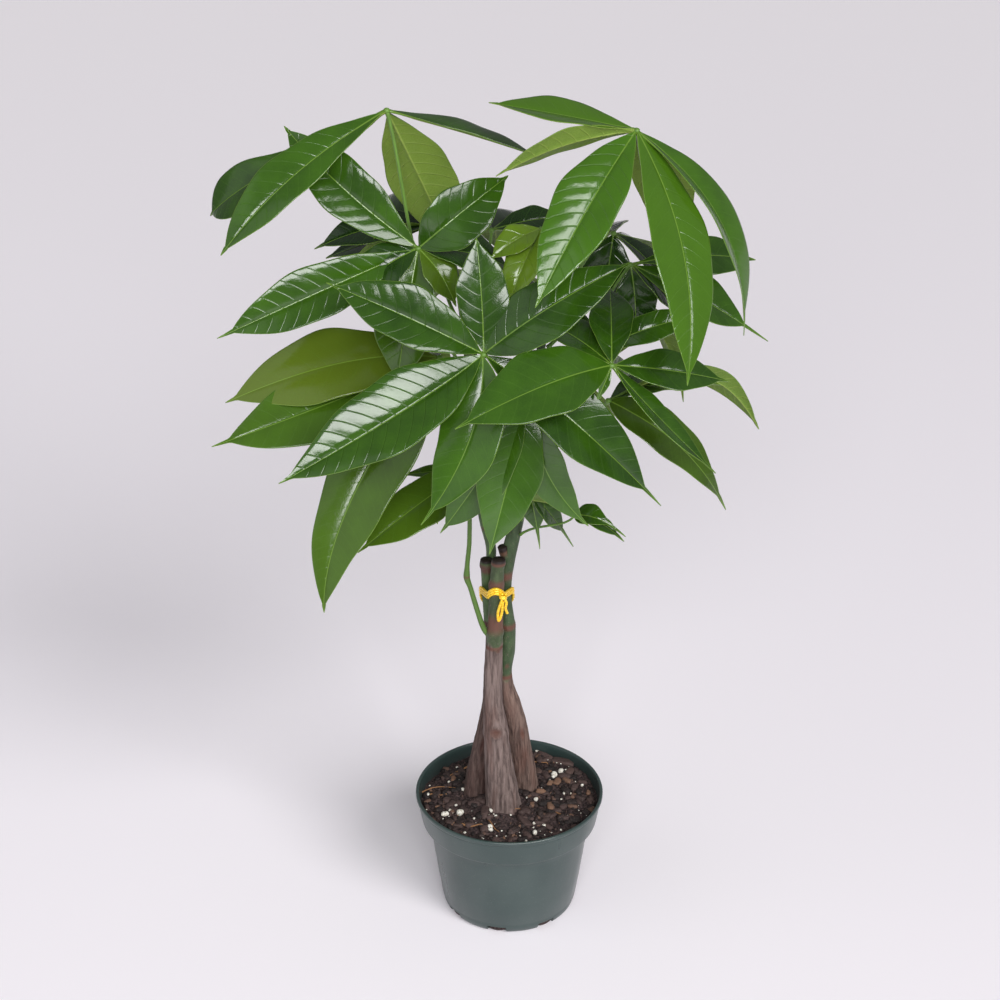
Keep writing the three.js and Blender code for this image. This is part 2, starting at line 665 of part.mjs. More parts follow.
    leaflets: [
      { tip: [-86, -45, -49], width: 38, arch: 10, face: [-0.1, -0.6, 0.75] },
      { tip: [-55, 12, -12], width: 15, arch: 4 },
      { tip: [-26, -24, -31], width: 12, arch: 3 },
    ],
  },
  {
    name: "leaf_low_front", stem: "right", at: 375, hub: [14, -85, 504], up: [0.1, -0.8, 0.6],
    leaflets: [
      { tip: [-30, -30, -123], width: 44, arch: 12, face: [0, -0.95, 0.3] },
      { tip: [46, -5, -105], width: 30, arch: 6, sway: 12, face: [0.1, -0.95, 0.3] },
      { tip: [-66, -5, -105], width: 32, arch: 6, face: [-0.1, -0.9, 0.4] },
    ],
  },
  {
    name: "leaf_lowest_right", stem: "right", at: 345, hub: [49, -40, 384], up: [0.2, -0.5, 0.85],
    radius: 1.2, knob: 2.2,
    leaflets: [
      { tip: [42, -10, -11], width: 22, arch: 9, skew: 0.8, tail: 0.3, face: [0.1, -0.6, 0.8] },
      { tip: [33, -8, -20], width: 12, arch: 6, tail: 0.15 },
      { tip: [-52, -15, 18], width: 34, arch: 6, face: [0, 0.5, 0.8] },
    ],
  },
  {
    name: "leaf_lowest_inner", stem: "right", at: 358, hub: [14, -10, 392], up: [0.2, -0.5, 0.85],
    radius: 1.2, knob: 2.2,
    leaflets: [
      { tip: [38, 12, -54], width: 18, arch: 8, skew: 0.9, tail: 0.3 },
      { tip: [7, -2, -55], width: 16, arch: 5, skew: 0.8, tail: 0.35, face: [0, -0.9, 0.4] },
    ],
  },
];

// The leaves on the far side of the crown are fans.
const BACK_LEAVES = [
  { name: "leaf_back_left", stem: "back", at: 400, hub: [-90, 90, 470], up: [-0.4, 0.5, 0.8],
    count: 5, length: 100, width: 38, droop: 34 },
  { name: "leaf_back_middle", stem: "back", at: 450, hub: [-24, 120, 516], up: [0, 0.5, 0.85],
    count: 5, length: 100, width: 38, droop: 30 },
  { name: "leaf_back_right", stem: "right", at: 440, hub: [94, 76, 508], up: [0.4, 0.5, 0.8],
    count: 5, length: 92, width: 38, droop: 30 },
  { name: "leaf_back_low", stem: "right", at: 385, hub: [34, 98, 434], up: [0.1, 0.65, 0.75],
    count: 5, length: 78, width: 34, droop: 34 },
  { name: "leaf_back_lowest_left", stem: "back", at: 355, hub: [-28, 92, 366], up: [-0.2, 0.65, 0.75],
    count: 5, length: 70, width: 32, droop: 38 },
];

BACK_LEAVES.forEach((leaf) => LEAVES.push({ ...leaf, leaflets: fan(leaf) }));

// Tie: strands of wire round the three stems, a knot and two hanging ends

function tieLoop(height) {
  const stems = TRUNKS.map((name) => stemAt(name, height));
  const points = [];
  for (let i = 0; i <= TIE_STEPS; i += 1) {
    const turn = (2 * Math.PI * i) / TIE_STEPS;
    const out = [Math.cos(turn), Math.sin(turn)];
    const support = ([x, y, , radius]) => x * out[0] + y * out[1] + radius;
    const outermost = stems.reduce((best, stem) => (support(stem) > support(best) ? stem : best));
    const [x, y, , radius] = outermost;
    const reach = radius + TIE_GAP + TIE_RADIUS;
    const z = height - TIE_DROP_RIGHT * out[0] - TIE_DROP_BACK * out[1];
    points.push(new THREE.Vector3(x + reach * out[0], y + reach * out[1], z));
  }
  return points;
}

function wireSolid(points) {
  return bar(points, points.map(() => TIE_RADIUS), TIE_SIDES);
}

function tieSolid() {
  const parts = [knobSolid(KNOT_PLACE, KNOT_RADIUS)];
  for (let i = 0; i < TIE_STRANDS; i += 1) {
    parts.push(wireSolid(tieLoop(TIE_HEIGHT + i * TIE_PITCH)));
  }
  TIE_ENDS.forEach((end) => {
    const places = end.map((p) => vector(p).add(vector(KNOT_PLACE)));
    parts.push(wireSolid(new THREE.CatmullRomCurve3(places).getPoints(TIE_END_STEPS)));
  });
  return wasm.Manifold.union(parts);
}

addNode("pot", potSolid(), PLASTIC);
addNode("soil", soilSolid(), SOIL);
addNode("trunk_front", trunkSolid("front").add(shootSolid("side")), BARK);
addNode("trunk_right", trunkSolid("right").add(stubSolid()), BARK);
addNode("trunk_left", trunkSolid("left").add(shootSolid("back")), BARK);
addNode("tie", tieSolid(), GOLD);
LEAVES.forEach((leaf) => {
  addNode(leaf.name, leafSolid(leaf), leaf.name === "leaf_young" ? YOUNG_LEAF : LEAF);
});

export default group;
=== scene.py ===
"""Looks of a potted money tree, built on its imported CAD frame.

The tables are in millimetres and every mesh is in metres, +Z up. The plant's front
looks towards -Y, and each fine piece stands where the CAD node that it replaces is.
"""

import math
import random

import bpy
import numpy as np
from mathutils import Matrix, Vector, noise


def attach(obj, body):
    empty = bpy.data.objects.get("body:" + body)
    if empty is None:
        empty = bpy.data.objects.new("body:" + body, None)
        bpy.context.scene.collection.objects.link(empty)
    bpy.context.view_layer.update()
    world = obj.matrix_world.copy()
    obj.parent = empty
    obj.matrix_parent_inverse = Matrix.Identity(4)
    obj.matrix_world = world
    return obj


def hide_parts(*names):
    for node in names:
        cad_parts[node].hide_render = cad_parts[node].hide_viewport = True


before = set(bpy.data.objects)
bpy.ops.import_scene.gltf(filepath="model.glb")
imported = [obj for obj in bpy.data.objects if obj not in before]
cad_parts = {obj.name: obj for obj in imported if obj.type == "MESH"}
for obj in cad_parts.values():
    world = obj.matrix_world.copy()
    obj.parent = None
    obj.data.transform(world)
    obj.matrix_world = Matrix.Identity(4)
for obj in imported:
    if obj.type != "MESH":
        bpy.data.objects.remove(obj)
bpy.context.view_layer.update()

MM = 0.001
TURN = 2 * math.pi

# Camera, fitted to the outline of the pot. Its place and reach are in metres
CAMERA_PLACE = (-0.0077, -1.6024, 1.1960)
CAMERA_FALL = math.radians(27.1)
CAMERA_LENS = 83.45
CAMERA_SENSOR = 36
CAMERA_REACH = 60

# Pot outline, radius and height, from the middle of the underside to the lip and back inside
POT_SIDES = 224
POT_OUTSIDE = [
    (0, 0.9), (40, 0.9), (48.5, 0.4), (50.4, 0), (51.6, 0.2), (53.2, 1.1), (54.6, 3),
    (55.5, 5.6), (56, 8), (56.1, 9.6), (56.5, 10.4), (59.5, 30), (62.6, 52), (65.3, 72),
    (66.3, 79.6), (67, 80.8), (68.6, 81.2), (71.6, 81.5), (72.5, 82.2), (72.8, 83.4),
    (74.4, 92), (75.6, 100), (75.8, 101.8), (75.6, 102.6), (76.1, 103.2), (77.1, 103.6),
    (77.5, 104.4), (77.5, 106), (77.2, 106.7), (76.6, 107),
]
POT_INSIDE = [
    (75.4, 106.9), (74.9, 106.4), (74.6, 103.5), (73, 94), (70.9, 84), (68, 82.8),
    (65.2, 81.6), (64.6, 79), (54.2, 6.2), (50, 2.6), (20, 2.4), (0, 2.4),
]
DRAIN_COUNT = 8
DRAIN_FIRST_ANGLE = 259
DRAIN_SIZE = (12, 17, 6.5)
DRAIN_REACH = 55.6
DRAIN_TOP_SHARE = 0.9
SQUARE = [(-1, -1), (1, -1), (1, 1), (-1, 1)]
DRAIN_FACES = [(0, 3, 2, 1), (4, 5, 6, 7), (0, 1, 5, 4), (1, 2, 6, 5), (2, 3, 7, 6), (3, 0, 4, 7)]

# Lights. Suns: the way to each, its strength, its angle across and its colour. The strip in
# front is in metres and watts
SUNS = {
    "key_softbox": ((0.5, -0.66, 0.57), 2.0, 30, (1, 0.99, 0.985)),
    "left_fill": ((-0.75, -0.45, 0.5), 0.38, 60, (0.98, 0.98, 1)),
}
STRIP_PLACE = (0.05, -3.55, 2.4)
STRIP_TARGET = (0, 0, 0.5)
STRIP_SIZE = (1.9, 1.25)
STRIP_POWER = 96
STUDIO_COLOUR = (0.97, 0.97, 1, 1)
STUDIO_STRENGTH = 0.23

# Floor colours near the pot, in between and far away: painted light, brighter round the pot and
# brightest far away
FLOOR_NEAR = (0.95, 0.91, 0.96)
FLOOR_MIDDLE = (0.93, 0.89, 0.94)
FLOOR_FAR = (1, 0.96, 1)
FLOOR_REACH = 40000

# Soil
SOIL_RADIUS = 73.4
SOIL_TOP = 97.2
SOIL_BODY = [(50, 4), (54, 8), (64, 78), (66, 84.5), (70.2, 86.5)]
SOIL_LUMP_HEIGHT = 2
SOIL_LUMP_SIZE = 14
SOIL_CRUMB_SIZE = 4.2
SOIL_WALL_DROP = 2.6
SOIL_WALL_FROM = 0.8
SOIL_BACK_RISE = 3.2
SOIL_BACK_FROM = 20
SOIL_BACK_TO = 75
SOIL_RINGS = 92
SOIL_SIDES = 200
PLUG_SIZE = (4, 8.2, 3)
PLUG_REACH = 49.8
SOIL_MOUND = 8
SOIL_MOUND_REACH = 14
CHIP_SEED = 11
CHIP_COUNT = 950
CHIP_MARGIN = 2.5
CHIP_LENGTH = (0.8, 5.4)
CHIP_WIDTH_SHARE = (0.4, 0.75)
CHIP_THICKNESS = 0.6
CHIP_THICKNESS_SHARE = 0.28
LARGE_CHIPS = [(26.4, 3.3, 4.2), (44, 52, 11), (30, 58, 9), (12, -36, 9), (-20, -26, 8)]
LARGE_CHIP_WIDTH_SHARE = 0.42
LARGE_CHIP_THICKNESS = 1.9
LARGE_CHIP_LIFT = 1.2
LUMP_TILT = 0.9
GRAIN_SEED = 5
GRAIN_COUNT = 90
GRAIN_MARGIN = 2
GRAIN_RADIUS = (0.35, 0.9)
GRAIN_WIDTH_SHARE = (0.7, 1)
GRAIN_HEIGHT_SHARE = (0.6, 0.9)
GRAIN_LIFT = 1.1
PERLITE = [
    (-53.7, -25.6, 2.1), (-51.6, -24.6, 1.7), (-40.6, -24.2, 2.4), (-48.9, -19.9, 1.1),
    (-38.5, 4.8, 1.3), (-44, -14.1, 1), (-15.1, -25.6, 1.5), (-11, -32.7, 1.1),
    (-15.8, -43.9, 1.7), (-15.2, -47.5, 1.6), (37.8, 29.9, 2.1), (37.2, 27.4, 1.8),
    (43.8, 34.5, 2), (48.1, 36, 1.3), (34.2, 19.5, 1.3), (61, 16.5, 1.2), (12.4, 12.1, 1.3),
    (22.1, -8.4, 1.6), (45.6, 4.8, 1), (51.4, 4.8, 0.9), (20.1, -38.3, 1), (28.2, -41.1, 1.4),
    (20.7, -50.9, 1.8), (13.3, -62, 1.1), (-36.1, -50.9, 1.2), (-22.3, -46.7, 0.9),
    (-29, -32.7, 0.9), (-50.5, 21, 0.9), (-44.2, 45, 0.9), (-67.7, 6.2, 1.3),
    (24.1, 66, 1.6), (27.5, 64, 1.3),
]
PERLITE_SCALE = 1.25
FIBRE_LIFT = 1.6
FIBRE_RADII = (0.55, 0.3)
FIBRES = [
    [(-74, 10), (-64, 14), (-54, 14), (-45, 10), (-38, 5)],
    [(-66, 5), (-58, 3), (-52, 2)],
    [(-40, -39), (-32, -41.5), (-22, -41)],
    [(-3.6, -29), (2, -25), (9, -23)],
    [(35, -17), (40, -23), (46, -28), (55, -30)],
    [(46.8, -47), (53, -43), (57, -36)],
    [(-17, -36), (-13, -44), (-8, -50)],
    [(8, 44), (20, 50), (33, 47)],
    [(-30, 48), (-42, 40), (-50, 30)],
]

# Stems: rows of x, y, height and radius up each centreline
STEMS = {
    "front": [
        (-5, -15, 62, 14), (-5, -15, 100, 14.4), (-6, -14.5, 112, 14), (-8.5, -13.5, 140, 12),
        (-10.5, -13, 166, 10.3), (-11, -12.6, 171, 10.9), (-11.3, -12.4, 177, 10),
        (-13.6, -10.5, 205, 8), (-13.2, -10, 228, 7.4), (-12.3, -9.4, 248, 6.7),
        (-12, -9.2, 258, 6.6), (-11.8, -9, 263, 7.4), (-11.5, -8.8, 268, 6.3),
        (-10.8, -8, 290, 5.9), (-10.4, -8, 306, 6.4), (-10, -8, 310, 5.6),
        (-9.2, -8, 322, 5.3), (-8.9, -8, 324, 5.9), (-8.6, -8, 328, 5.2),
    ],
    "right": [
        (13, 14, 62, 10.5), (13, 14, 100, 10.8), (12, 13.4, 112, 11), (8.5, 11, 140, 10),
        (5, 9, 165, 9.6), (0, 6.6, 190, 8.6), (-3.4, 5.4, 207, 6.6), (-4.2, 5.2, 213, 6.6),
        (-4.3, 5, 218, 6.3), (-2, 4.8, 240, 6.6), (-1.6, 4.6, 258, 6.5), (-2.2, 4.7, 262, 7.2),
        (-2.5, 4.6, 267, 6.4), (-4, 4.4, 292, 5.4), (-3.6, 4.4, 306, 5.8),
        (-2.6, 4.8, 316, 6.4), (1.5, 5.5, 336, 6), (6, 7, 356, 5.4), (11, 9, 390, 4.8),
        (15, 10, 425, 4.4), (20, 11, 465, 3.8), (24, 11, 505, 3.3), (28, 8, 545, 2.7),
        (34, 2, 572, 2.2),
    ],
    "left": [
        (-27, 5, 62, 10.5), (-27, 5, 100, 10.8), (-26.4, 5.4, 112, 10.4), (-22.6, 6.6, 140, 9),
        (-18.6, 8, 165, 7.4), (-15.6, 10.5, 190, 6.2), (-15, 12, 215, 5.6),
        (-14, 10.5, 250, 5.2), (-15, 9, 262, 5.8), (-15.8, 7.8, 268, 5.2), (-17.2, 5, 292, 4.9),
        (-17.8, 4.8, 312, 5.2), (-18.1, 5, 315, 5.8), (-18.4, 5, 321, 4.8),
    ],
    "back": [
        (-15, 9, 304, 3.2), (-14.6, 13.6, 322, 4), (-20, 15, 350, 4), (-25, 16, 385, 3.9),
        (-28, 16, 425, 3.6), (-30, 14, 465, 3.3), (-33, 11, 505, 3), (-38, 8, 545, 2.5),
        (-43, 4, 575, 2.1),
    ],
    "side": [
        (-16, -9.5, 259, 2.2), (-20.5, -9.5, 266, 2.2), (-25.4, -8.5, 281, 2.1),
        (-31, -7, 302, 2), (-33.8, -6.6, 312, 2.6), (-33.4, -7, 322, 1.9),
        (-31.6, -10, 345, 1.8), (-31, -16, 375, 1.7), (-32, -22, 396, 1.6),
    ],
    "stub": [(-1, 4, 316, 4.2), (-3.5, 2.8, 325, 4), (-6, 1.5, 334, 3.9)],
}
TRUNKS = ("front", "right", "left")
SHOOT_OF = {"front": "side", "right": "stub", "left": "back"}
TRUNK_ROWS = 300
TRUNK_SIDES = 100
SHOOT_ROWS = {"side": 170, "stub": 30, "back": 170}
SHOOT_SIDES = 24
# Bark: shares of a trunk's radius in its fibres, its swellings and its flared foot, and
# the height over which the flare fades
BARK_FINE = 0.045
BARK_BROAD = 0.035
FLARE_SHARE = 0.09
FLARE_FROM = 97
FLARE_REACH = 8
# The height where bark gives way to green stem, and the brown rings above it
GREEN_FROM = {"front": 252, "right": 214, "left": 262}
RINGS = {
    "front": [(250.5, 1.6), (272, 8), (306, 4.5), (325.5, 2)],
    "right": [(215, 2), (262, 2.6), (308, 3.5)],
    "left": [(262, 2.5), (314, 4)],
    "back": [(345, 1.4), (430, 1), (505, 1)],
    "side": [(312, 1.2)],
    "stub": [(331, 4)],
}
# Knots in the bark: angle round the trunk, height, half width, half height and depth
KNOTS = {
    "front": [(-88, 176, 4.6, 4.2, 0.11), (-62, 249, 2.2, 2.2, 0.08), (-100, 300, 2, 3, 0.05)],
    "right": [(-70, 262, 2.6, 2.4, 0.09), (-75, 226, 2, 2, 0.06), (-60, 160, 2, 6, 0.05)],
    "left": [(-100, 150, 1.5, 8, 0.05)],
}
# Bark colours: light, dark, the green stem above it, and brown. The left trunk's bark tones are darker
# than the others' as painted shade, for the trunk that stands behind them in their shadow
BARKS = {
    "front": [(0.215, 0.16, 0.146), (0.07, 0.048, 0.043), (0.043, 0.062, 0.028), (0.115, 0.05, 0.036)],
    "right": [(0.215, 0.145, 0.12), (0.062, 0.038, 0.032), (0.036, 0.06, 0.026), (0.12, 0.048, 0.034)],
    "left": [(0.13, 0.086, 0.075), (0.045, 0.027, 0.023), (0.046, 0.08, 0.03), (0.09, 0.04, 0.032)],
}
YOUNG_STEM = (0.075, 0.145, 0.028)

# Leaf blades
LONG_BLADE = 88
LONG_ROWS = 84
SHORT_ROWS = 50
ACROSS = (0, 0.05, 0.13, 0.24, 0.36, 0.49, 0.62, 0.75, 0.87, 0.95, 1)
BLADE_THICKNESS = 0.5
STALK_THICKNESS = 2.2
STALK_END = 0.14
BLADE_ROOT = 1.6
BLADE_FULLNESS = 0.85
STALK_HALF_WIDTH = 1.1
TAIL_HALF_WIDTH = 1.5
TIP_HALF_WIDTH = 0.25
VEIN_PITCH = 10.5
VEIN_STAGGER = 0.35
QUILT_HEIGHT = 0.5
QUILT_FLATNESS = 0.2
QUILT_FULL_FROM = 16
RIB_HEIGHT = 1.0
RIB_REACH = 1.0
RIB_TAPER = 0.75
GUTTER = 0.15
BLADE_CURL = 0.02
EDGE_CRIMP = 0.035
CRIMP_WAVES = 3.2
EDGE_RIPPLE = 0.03
RIPPLE_WAVES = 2.3
HUB_RADIUS = 2.4
# Leaf colours: deep, fresh, rib and vein of the upper side, deep, fresh and vein of the
# underside, and the stalk. The deep upper green is dark enough to be painted shade too, for
# leaflets inside the crown that are given low or negative tints
LEAF_COLOURS = {
    "leaf": (
        [(0.006, 0.022, 0.003), (0.046, 0.126, 0.006), (0.17, 0.29, 0.04), (0.085, 0.19, 0.025)],
        [(0.095, 0.17, 0.018), (0.17, 0.26, 0.03), (0.24, 0.33, 0.06)],
        (0.085, 0.17, 0.025),
    ),
    "young_leaf": (
        [(0.07, 0.155, 0.012), (0.16, 0.27, 0.02), (0.22, 0.32, 0.06), (0.12, 0.22, 0.04)],
        [(0.12, 0.2, 0.035), (0.17, 0.26, 0.05), (0.24, 0.33, 0.08)],
        (0.09, 0.18, 0.03),
    ),
}
# Painted backlight: the olive yellow that leaflets take where light shines through them
BACKLIT_OLIVE = (0.081, 0.126, 0.010)
STALK_BROWN = (0.10, 0.055, 0.03)
TINT_SHARE = 0.7
PETIOLE_RADIUS = 1.7
PETIOLE_STEPS = 64
PETIOLE_SIDES = 12
PETIOLE_LEAVE_SHARE = 0.35
PETIOLE_ARRIVE_SHARE = 0.3
PETIOLE_TAPER = (0.85, 0.7)
PETIOLE_SWELLING = (0.35, 0.5)
PETIOLE_SWELLING_REACH = 0.03
SEAT_GAP = 0.3

# Leaflet forms, in hundredths: where the midrib bends most, where the blade is widest, share
# of drip tip, and how much wider one half is than the other
PLAIN = (42, 110, 6)

# Each leaf: its stem, the height where it leaves it, its hub, the way its upper side looks,
# and its leaflets. Each leaflet: its tip from the hub, the way its face looks, its size as
# width, arch and sway, its form, and in hundredths its fold, relief, tint and backlight glow.
# Negative tints pull leaflets inside the crown towards the deep green as painted shade, and
# the backlight glow paints an olive light shining through the leaflet. A last number that is
# left out is 0.
LEAVES = {
    "top_left": ("back", 500, (-87, -35, 700), (-20, -30, 93), [
        ((-113, -60, -84), (-10, -65, 70), (36, 10, 4), (53, 120, 3.5, 10), (14, 50, 45)),
        ((104, 10, -36), (10, 10, 100), (36, 2, 4), (50, 120, 3.5, -17), (20, 50, 20)),
        ((45, 45, -121), (10, 100, 0), (50, 6, -1), (42, 125, 3.5), (20, 20, 80, 30)),
        ((-127, 5, -79), (-20, -50, 80), (41, 10, -2), (80, 210, 4.5), (15, 20, 30)),
        ((-70, 75, -74), (-30, 40, 85), (26, -2, -2), (42, 150, 6), (20, 40, 50)),
    ]),
    "upper_left": ("back", 480, (-66, -50, 603), (-10, -70, 70), [
        ((-94, 35, 78), (6, -87, 47), (41, 6, -5), (52, 105, 3.5), (26, 130, 35)),
        ((63, 30, 43), (10, -88, 47), (43, 10), (38, 93, 3.5, 6), (26, 110, 30)),
        ((-141, -35, -54), (3, -88, 48), (41, 4), (42, 135, 6), (26, 90, 40)),
        ((-54, -10, -41), (-10, -70, 70), (36, 9, 1), (40, 100, 6), (15, 60, 0)),
        ((-16, -20, -97), (-10, -95, 20), (46, 8), (44, 110, 6), (22, 30, 40, 15)),
        ((26, -15, -37), (39, -72, 57), (25, 5, -1), PLAIN, (10, 20, 50, 50)),
        ((64, 25, -25), (0, -50, 85), (39, 8, 1), (50, 110, 4.5), (15, 50, 0)),
    ]),
    "front": ("back", 440, (-19, -115, 549), (0, -80, 60), [
        ((-108, 15, 47), (12, -82, 55), (44, 7), (42, 115, 6, 4), (30, 140, 25)),
        ((-5, 25, 75), (0, -95, 30), (37, 1, 1), (45, 115, 3.5, 5), (12, 70, 20)),
        ((101, 20, 60), (-27, -69, 68), (47, 12, 2), (39, 95, 3.5, 4), (12, 80, 20)),
        ((-141, -50, -75), (-10, -75, 60), (56, 2, -4), (31, 115, 3.5), (27, 150, 35)),
        ((-44, -38, -113), (-30, -86, 41), (46, 4, -13), (42, 100, 8.5), (10, 15, 55)),
        ((125, -15, -110), (20, -75, 65), (49, 14), (39, 115, 9), (26, 20, 20)),
    ]),
    "front_right": ("right", 430, (70, -125, 545), (20, -75, 65), [
        ((-107, -45, -27), (7, -63, 77), (53, 10, 1), (39, 100, 6, 4), (6, 15, 40)),
        ((1, 70, 29), (0, -50, 85), (32, 8), PLAIN, (22, 50, 15)),
        ((-57, 65, 10), (0, -30, 95), (30, 6), PLAIN, (22, 60, 30)),
        ((83, 20, -21), (10, -60, 80), (32, 4), (42, 115, 7.5), (10, 40, 25)),
        ((78, 30, -28), (20, -60, 80), (28, 4), (40, 110, 7.5), (22, 40, 50, 30)),
        ((72, -25, -70), (60, -40, 70), (22, -1, 1), (42, 110, 7.5), (20, 40, 30)),
        ((-9, -5, -22), (20, -75, 65), (7, 2), PLAIN, (22, 30, 40)),
    ]),
    "low_right": ("right", 400, (70, -92, 503), (30, -60, 70), [
        ((85, -15, -79), (30, -60, 75), (35, 19), (47, 70, 9), (14, 15, 20, 30)),
        ((112, 37, -40), (30, 85, 45), (27, 36), (74, 130, 3.5, -10), (22, 40, 30)),
        ((59, 65, -22), (30, 0, 95), (27, 8, -1), (42, 110, 6.5), (22, 50, 20)),
    ]),
    "top_right": ("right", 540, (87, -55, 692), (10, -30, 95), [
        ((-101, 5, 18), (0, -15, 100), (38, 1), (42, 125, 5), (20, 50, 95, 15)),
        ((-96, -40, -19), (-10, 75, 60), (30, 8, 2), (44, 115, 5.5), (20, 30, 50, 10)),
        ((-70, -90, -94), (-15, -85, 50), (47, 8, 1), (43, 110, 3.5, 6), (22, 140, 80)),
        ((33, -100, -147), (50, -60, 60), (49, 14, -8), (50, 100, 3.5, 5), (5, 40, 85, 10)),
        ((78, -25, -142), (80, -30, 45), (40, 24, -1), (50, 110, 8.5, -12), (20, 30, 70)),
        ((44, 35, -72), (30, 80, 50), (33, 2), (42, 120, 3.5), (20, 20, 100, 60)),
        ((14, 20, -73), (0, 95, 20), (27, 7, 3), (42, 110, 3.5, 7), (20, 20, 100, 60)),
    ]),
    "inner_right": ("right", 500, (76, 10, 592), (10, 0, 100), [
        ((-7, 0, -57), (0, -90, 30), (35, 6), (42, 92, 6, 10), (15, 50, 0)),
        ((48, 10, -61), (60, -30, 70), (28, 7), (42, 120, 5.5), (15, 50, -30)),
        ((-8, 90, -45), (0, 30, 95), (35, 11), (42, 115, 4.5), (20, 50, -30)),
        ((58, 75, -67), (30, 30, 90), (36, 6), (44, 130, 6, -5), (22, 50, 30)),
    ]),
    "right": ("right", 470, (88, -10, 575), (50, -30, 80), [
        ((5, 0, -56), (10, -95, 20), (33, 4, -1), (42, 110, 7.5), (15, 50, 0)),
        ((34, -5, -38), (50, -30, 80), (28, 5), PLAIN, (15, 50, -20)),
        ((93, 25, -6), (10, -60, 75), (33, 10), (42, 170, 4.5, 4), (10, 40, 25)),
        ((102, -5, -58), (30, -50, 75), (40, 5), (42, 135, 16.5, -3), (12, 40, 35)),
    ]),
    "inner_front": ("right", 415, (66, -38, 520), (20, -50, 85), [
        ((78, 8, 24), (10, -70, 70), (23, 11), PLAIN, (10, 40, 30)),
        ((-40, 10, 20), (20, -50, 85), (26, 6), PLAIN, (22, 50, 20)),
        ((42, 52, -62), (20, -50, 85), (21, -1), PLAIN, (22, 50, 20)),
    ]),
    "top_back": ("back", 540, (-14, 35, 585), (0, 20, 100), [
        ((54, 15, 4), (0, -50, 85), (24, 4), (48, 120, 3.5), (20, 50, -10)),
        ((59, 70, -35), (0, 20, 100), (39, 14, -2), (37, 100, 6), (20, 50, -20)),
        ((4, 105, -58), (0, 20, 100), (43, 13), PLAIN, (22, 50, 30)),
        ((-45, 85, -50), (0, 20, 100), (38, 12), PLAIN, (22, 50, 30)),
    ]),
    "young": ("right", 560, (22, -15, 605), (-30, -70, 60), [
        ((-36, -20, -16), (-30, -70, 60), (24, 5), PLAIN, (22, 90, 60)),
        ((-22, -30, -44), (-30, -70, 60), (29, 6, -1), (44, 115, 4.5), (22, 90, 70)),
        ((14, -10, -30), (-30, -70, 60), (14, 3), PLAIN, (22, 80, 50)),
    ]),
    "left_back": ("back", 520, (-60, 30, 591), (-30, -10, 95), [
        ((-84, -15, -13), (-10, -50, 85), (34, 10), PLAIN, (20, 30, -20)),
        ((-77, 0, -26), (-10, -30, 95), (30, 3, -1), (42, 110, 3.5), (20, 30, -20)),
        ((-57, -30, -18), (-10, 70, 70), (28, 4), PLAIN, (20, 20, 40, 30)),
        ((-62, 85, -47), (-30, -10, 95), (40, 21), PLAIN, (22, 50, 20)),
    ]),
    "left": ("back", 420, (-52, -40, 514), (-50, -50, 70), [
        ((-155, -20, -27), (0, -70, 70), (55, 17, 5), (37, 130, 3.5), (6, 10, 50, 100)),
        ((-163, -50, -48), (0, -71, 70), (53, 6, -4), (42, 140, 6), (5, 20, 55, 20)),
        ((-85, -75, -171), (-35, -85, 30), (57, 8, 14), (69, 66, 3.5, -10), (16, 15, 55, 30)),
        ((-104, 48, -66), (-30, 10, 90), (38, 8), PLAIN, (20, 40, -30)),
        ((-30, 85, -50), (-20, 40, 90), (34, 10), PLAIN, (20, 40, -30)),
    ]),
    "low_left": ("side", 380, (-27, -30, 420), (-30, -50, 80), [
        ((-86, -45, -49), (-10, -60, 75), (40, 5), (42, 110, 6, -10), (12, 20, 50, 40)),
        ((-55, 12, -13), (-30, -50, 80), (12, 1, -1), PLAIN, (22, 40, 40, 20)),
        ((-26, -24, -31), (-30, -50, 80), (12, 3), PLAIN, (22, 40, 40)),
    ]),
    "low_front": ("right", 375, (14, -85, 504), (10, -80, 60), [
        ((-29, -28, -113), (0, -95, 30), (46, 3), (42, 110, 4.5), (8, 15, 65)),
        ((43, -5, -102), (10, -95, 30), (30, 4, 12), (45, 105, 6), (14, 20, 60)),
        ((-65, -5, -108), (-10, -90, 40), (38, 8, -3), (47, 120, 6, -6), (14, 20, 45)),
    ]),
    "lowest_right": ("right", 345, (49, -40, 384), (20, -50, 85), [
        ((37, -10, -13), (10, -60, 80), (19, 9), (37, 63, 30, -10), (20, 40, 30)),
        ((36, -8, -18), (20, -50, 85), (14, 6), (44, 110, 15), (20, 40, 30)),
        ((-52, -15, 18), (0, 50, 80), (34, 6), PLAIN, (20, 40, 10)),
    ]),
    "lowest_inner": ("right", 358, (14, -10, 392), (20, -50, 85), [
        ((35, 12, -57), (20, -50, 85), (23, 4, 2), (45, 100, 28.5), (20, 40, 30)),
        ((9, -2, -51), (0, -90, 40), (18, 5, -1), (47, 80, 35), (20, 40, 30)),
    ]),
}

# How thin the stalks and hubs of small leaves are
SMALL_LEAVES = {"lowest_right": 0.7, "lowest_inner": 0.7, "young": 0.75}

# Leaves on the far side of the crown, each an even fan of leaflets: its stem, height,
# hub, upper side, longest leaflet, width and droop
FAN_COUNT = 5
FAN_SPREAD = 310
FAN_ARCH = 0.13
FAN_FOLD = 22
FAN_RELIEF = 60
FAN_TINT = (35, 15)
FAN_TAPER = 0.1
FAN_UNEVENNESS = 0.06
FAN_SWING = 6
BACK_LEAVES = {
    "back_left": ("back", 400, (-90, 90, 470), (-40, 50, 80), 100, 38, 34),
    "back_middle": ("back", 450, (-24, 120, 516), (0, 50, 85), 100, 38, 30),
    "back_right": ("right", 440, (94, 76, 508), (40, 50, 80), 92, 38, 30),
    "back_low": ("right", 385, (34, 98, 434), (10, 65, 75), 78, 34, 34),
    "back_lowest_left": ("back", 355, (-28, 92, 366), (-20, 65, 75), 70, 32, 38),
}

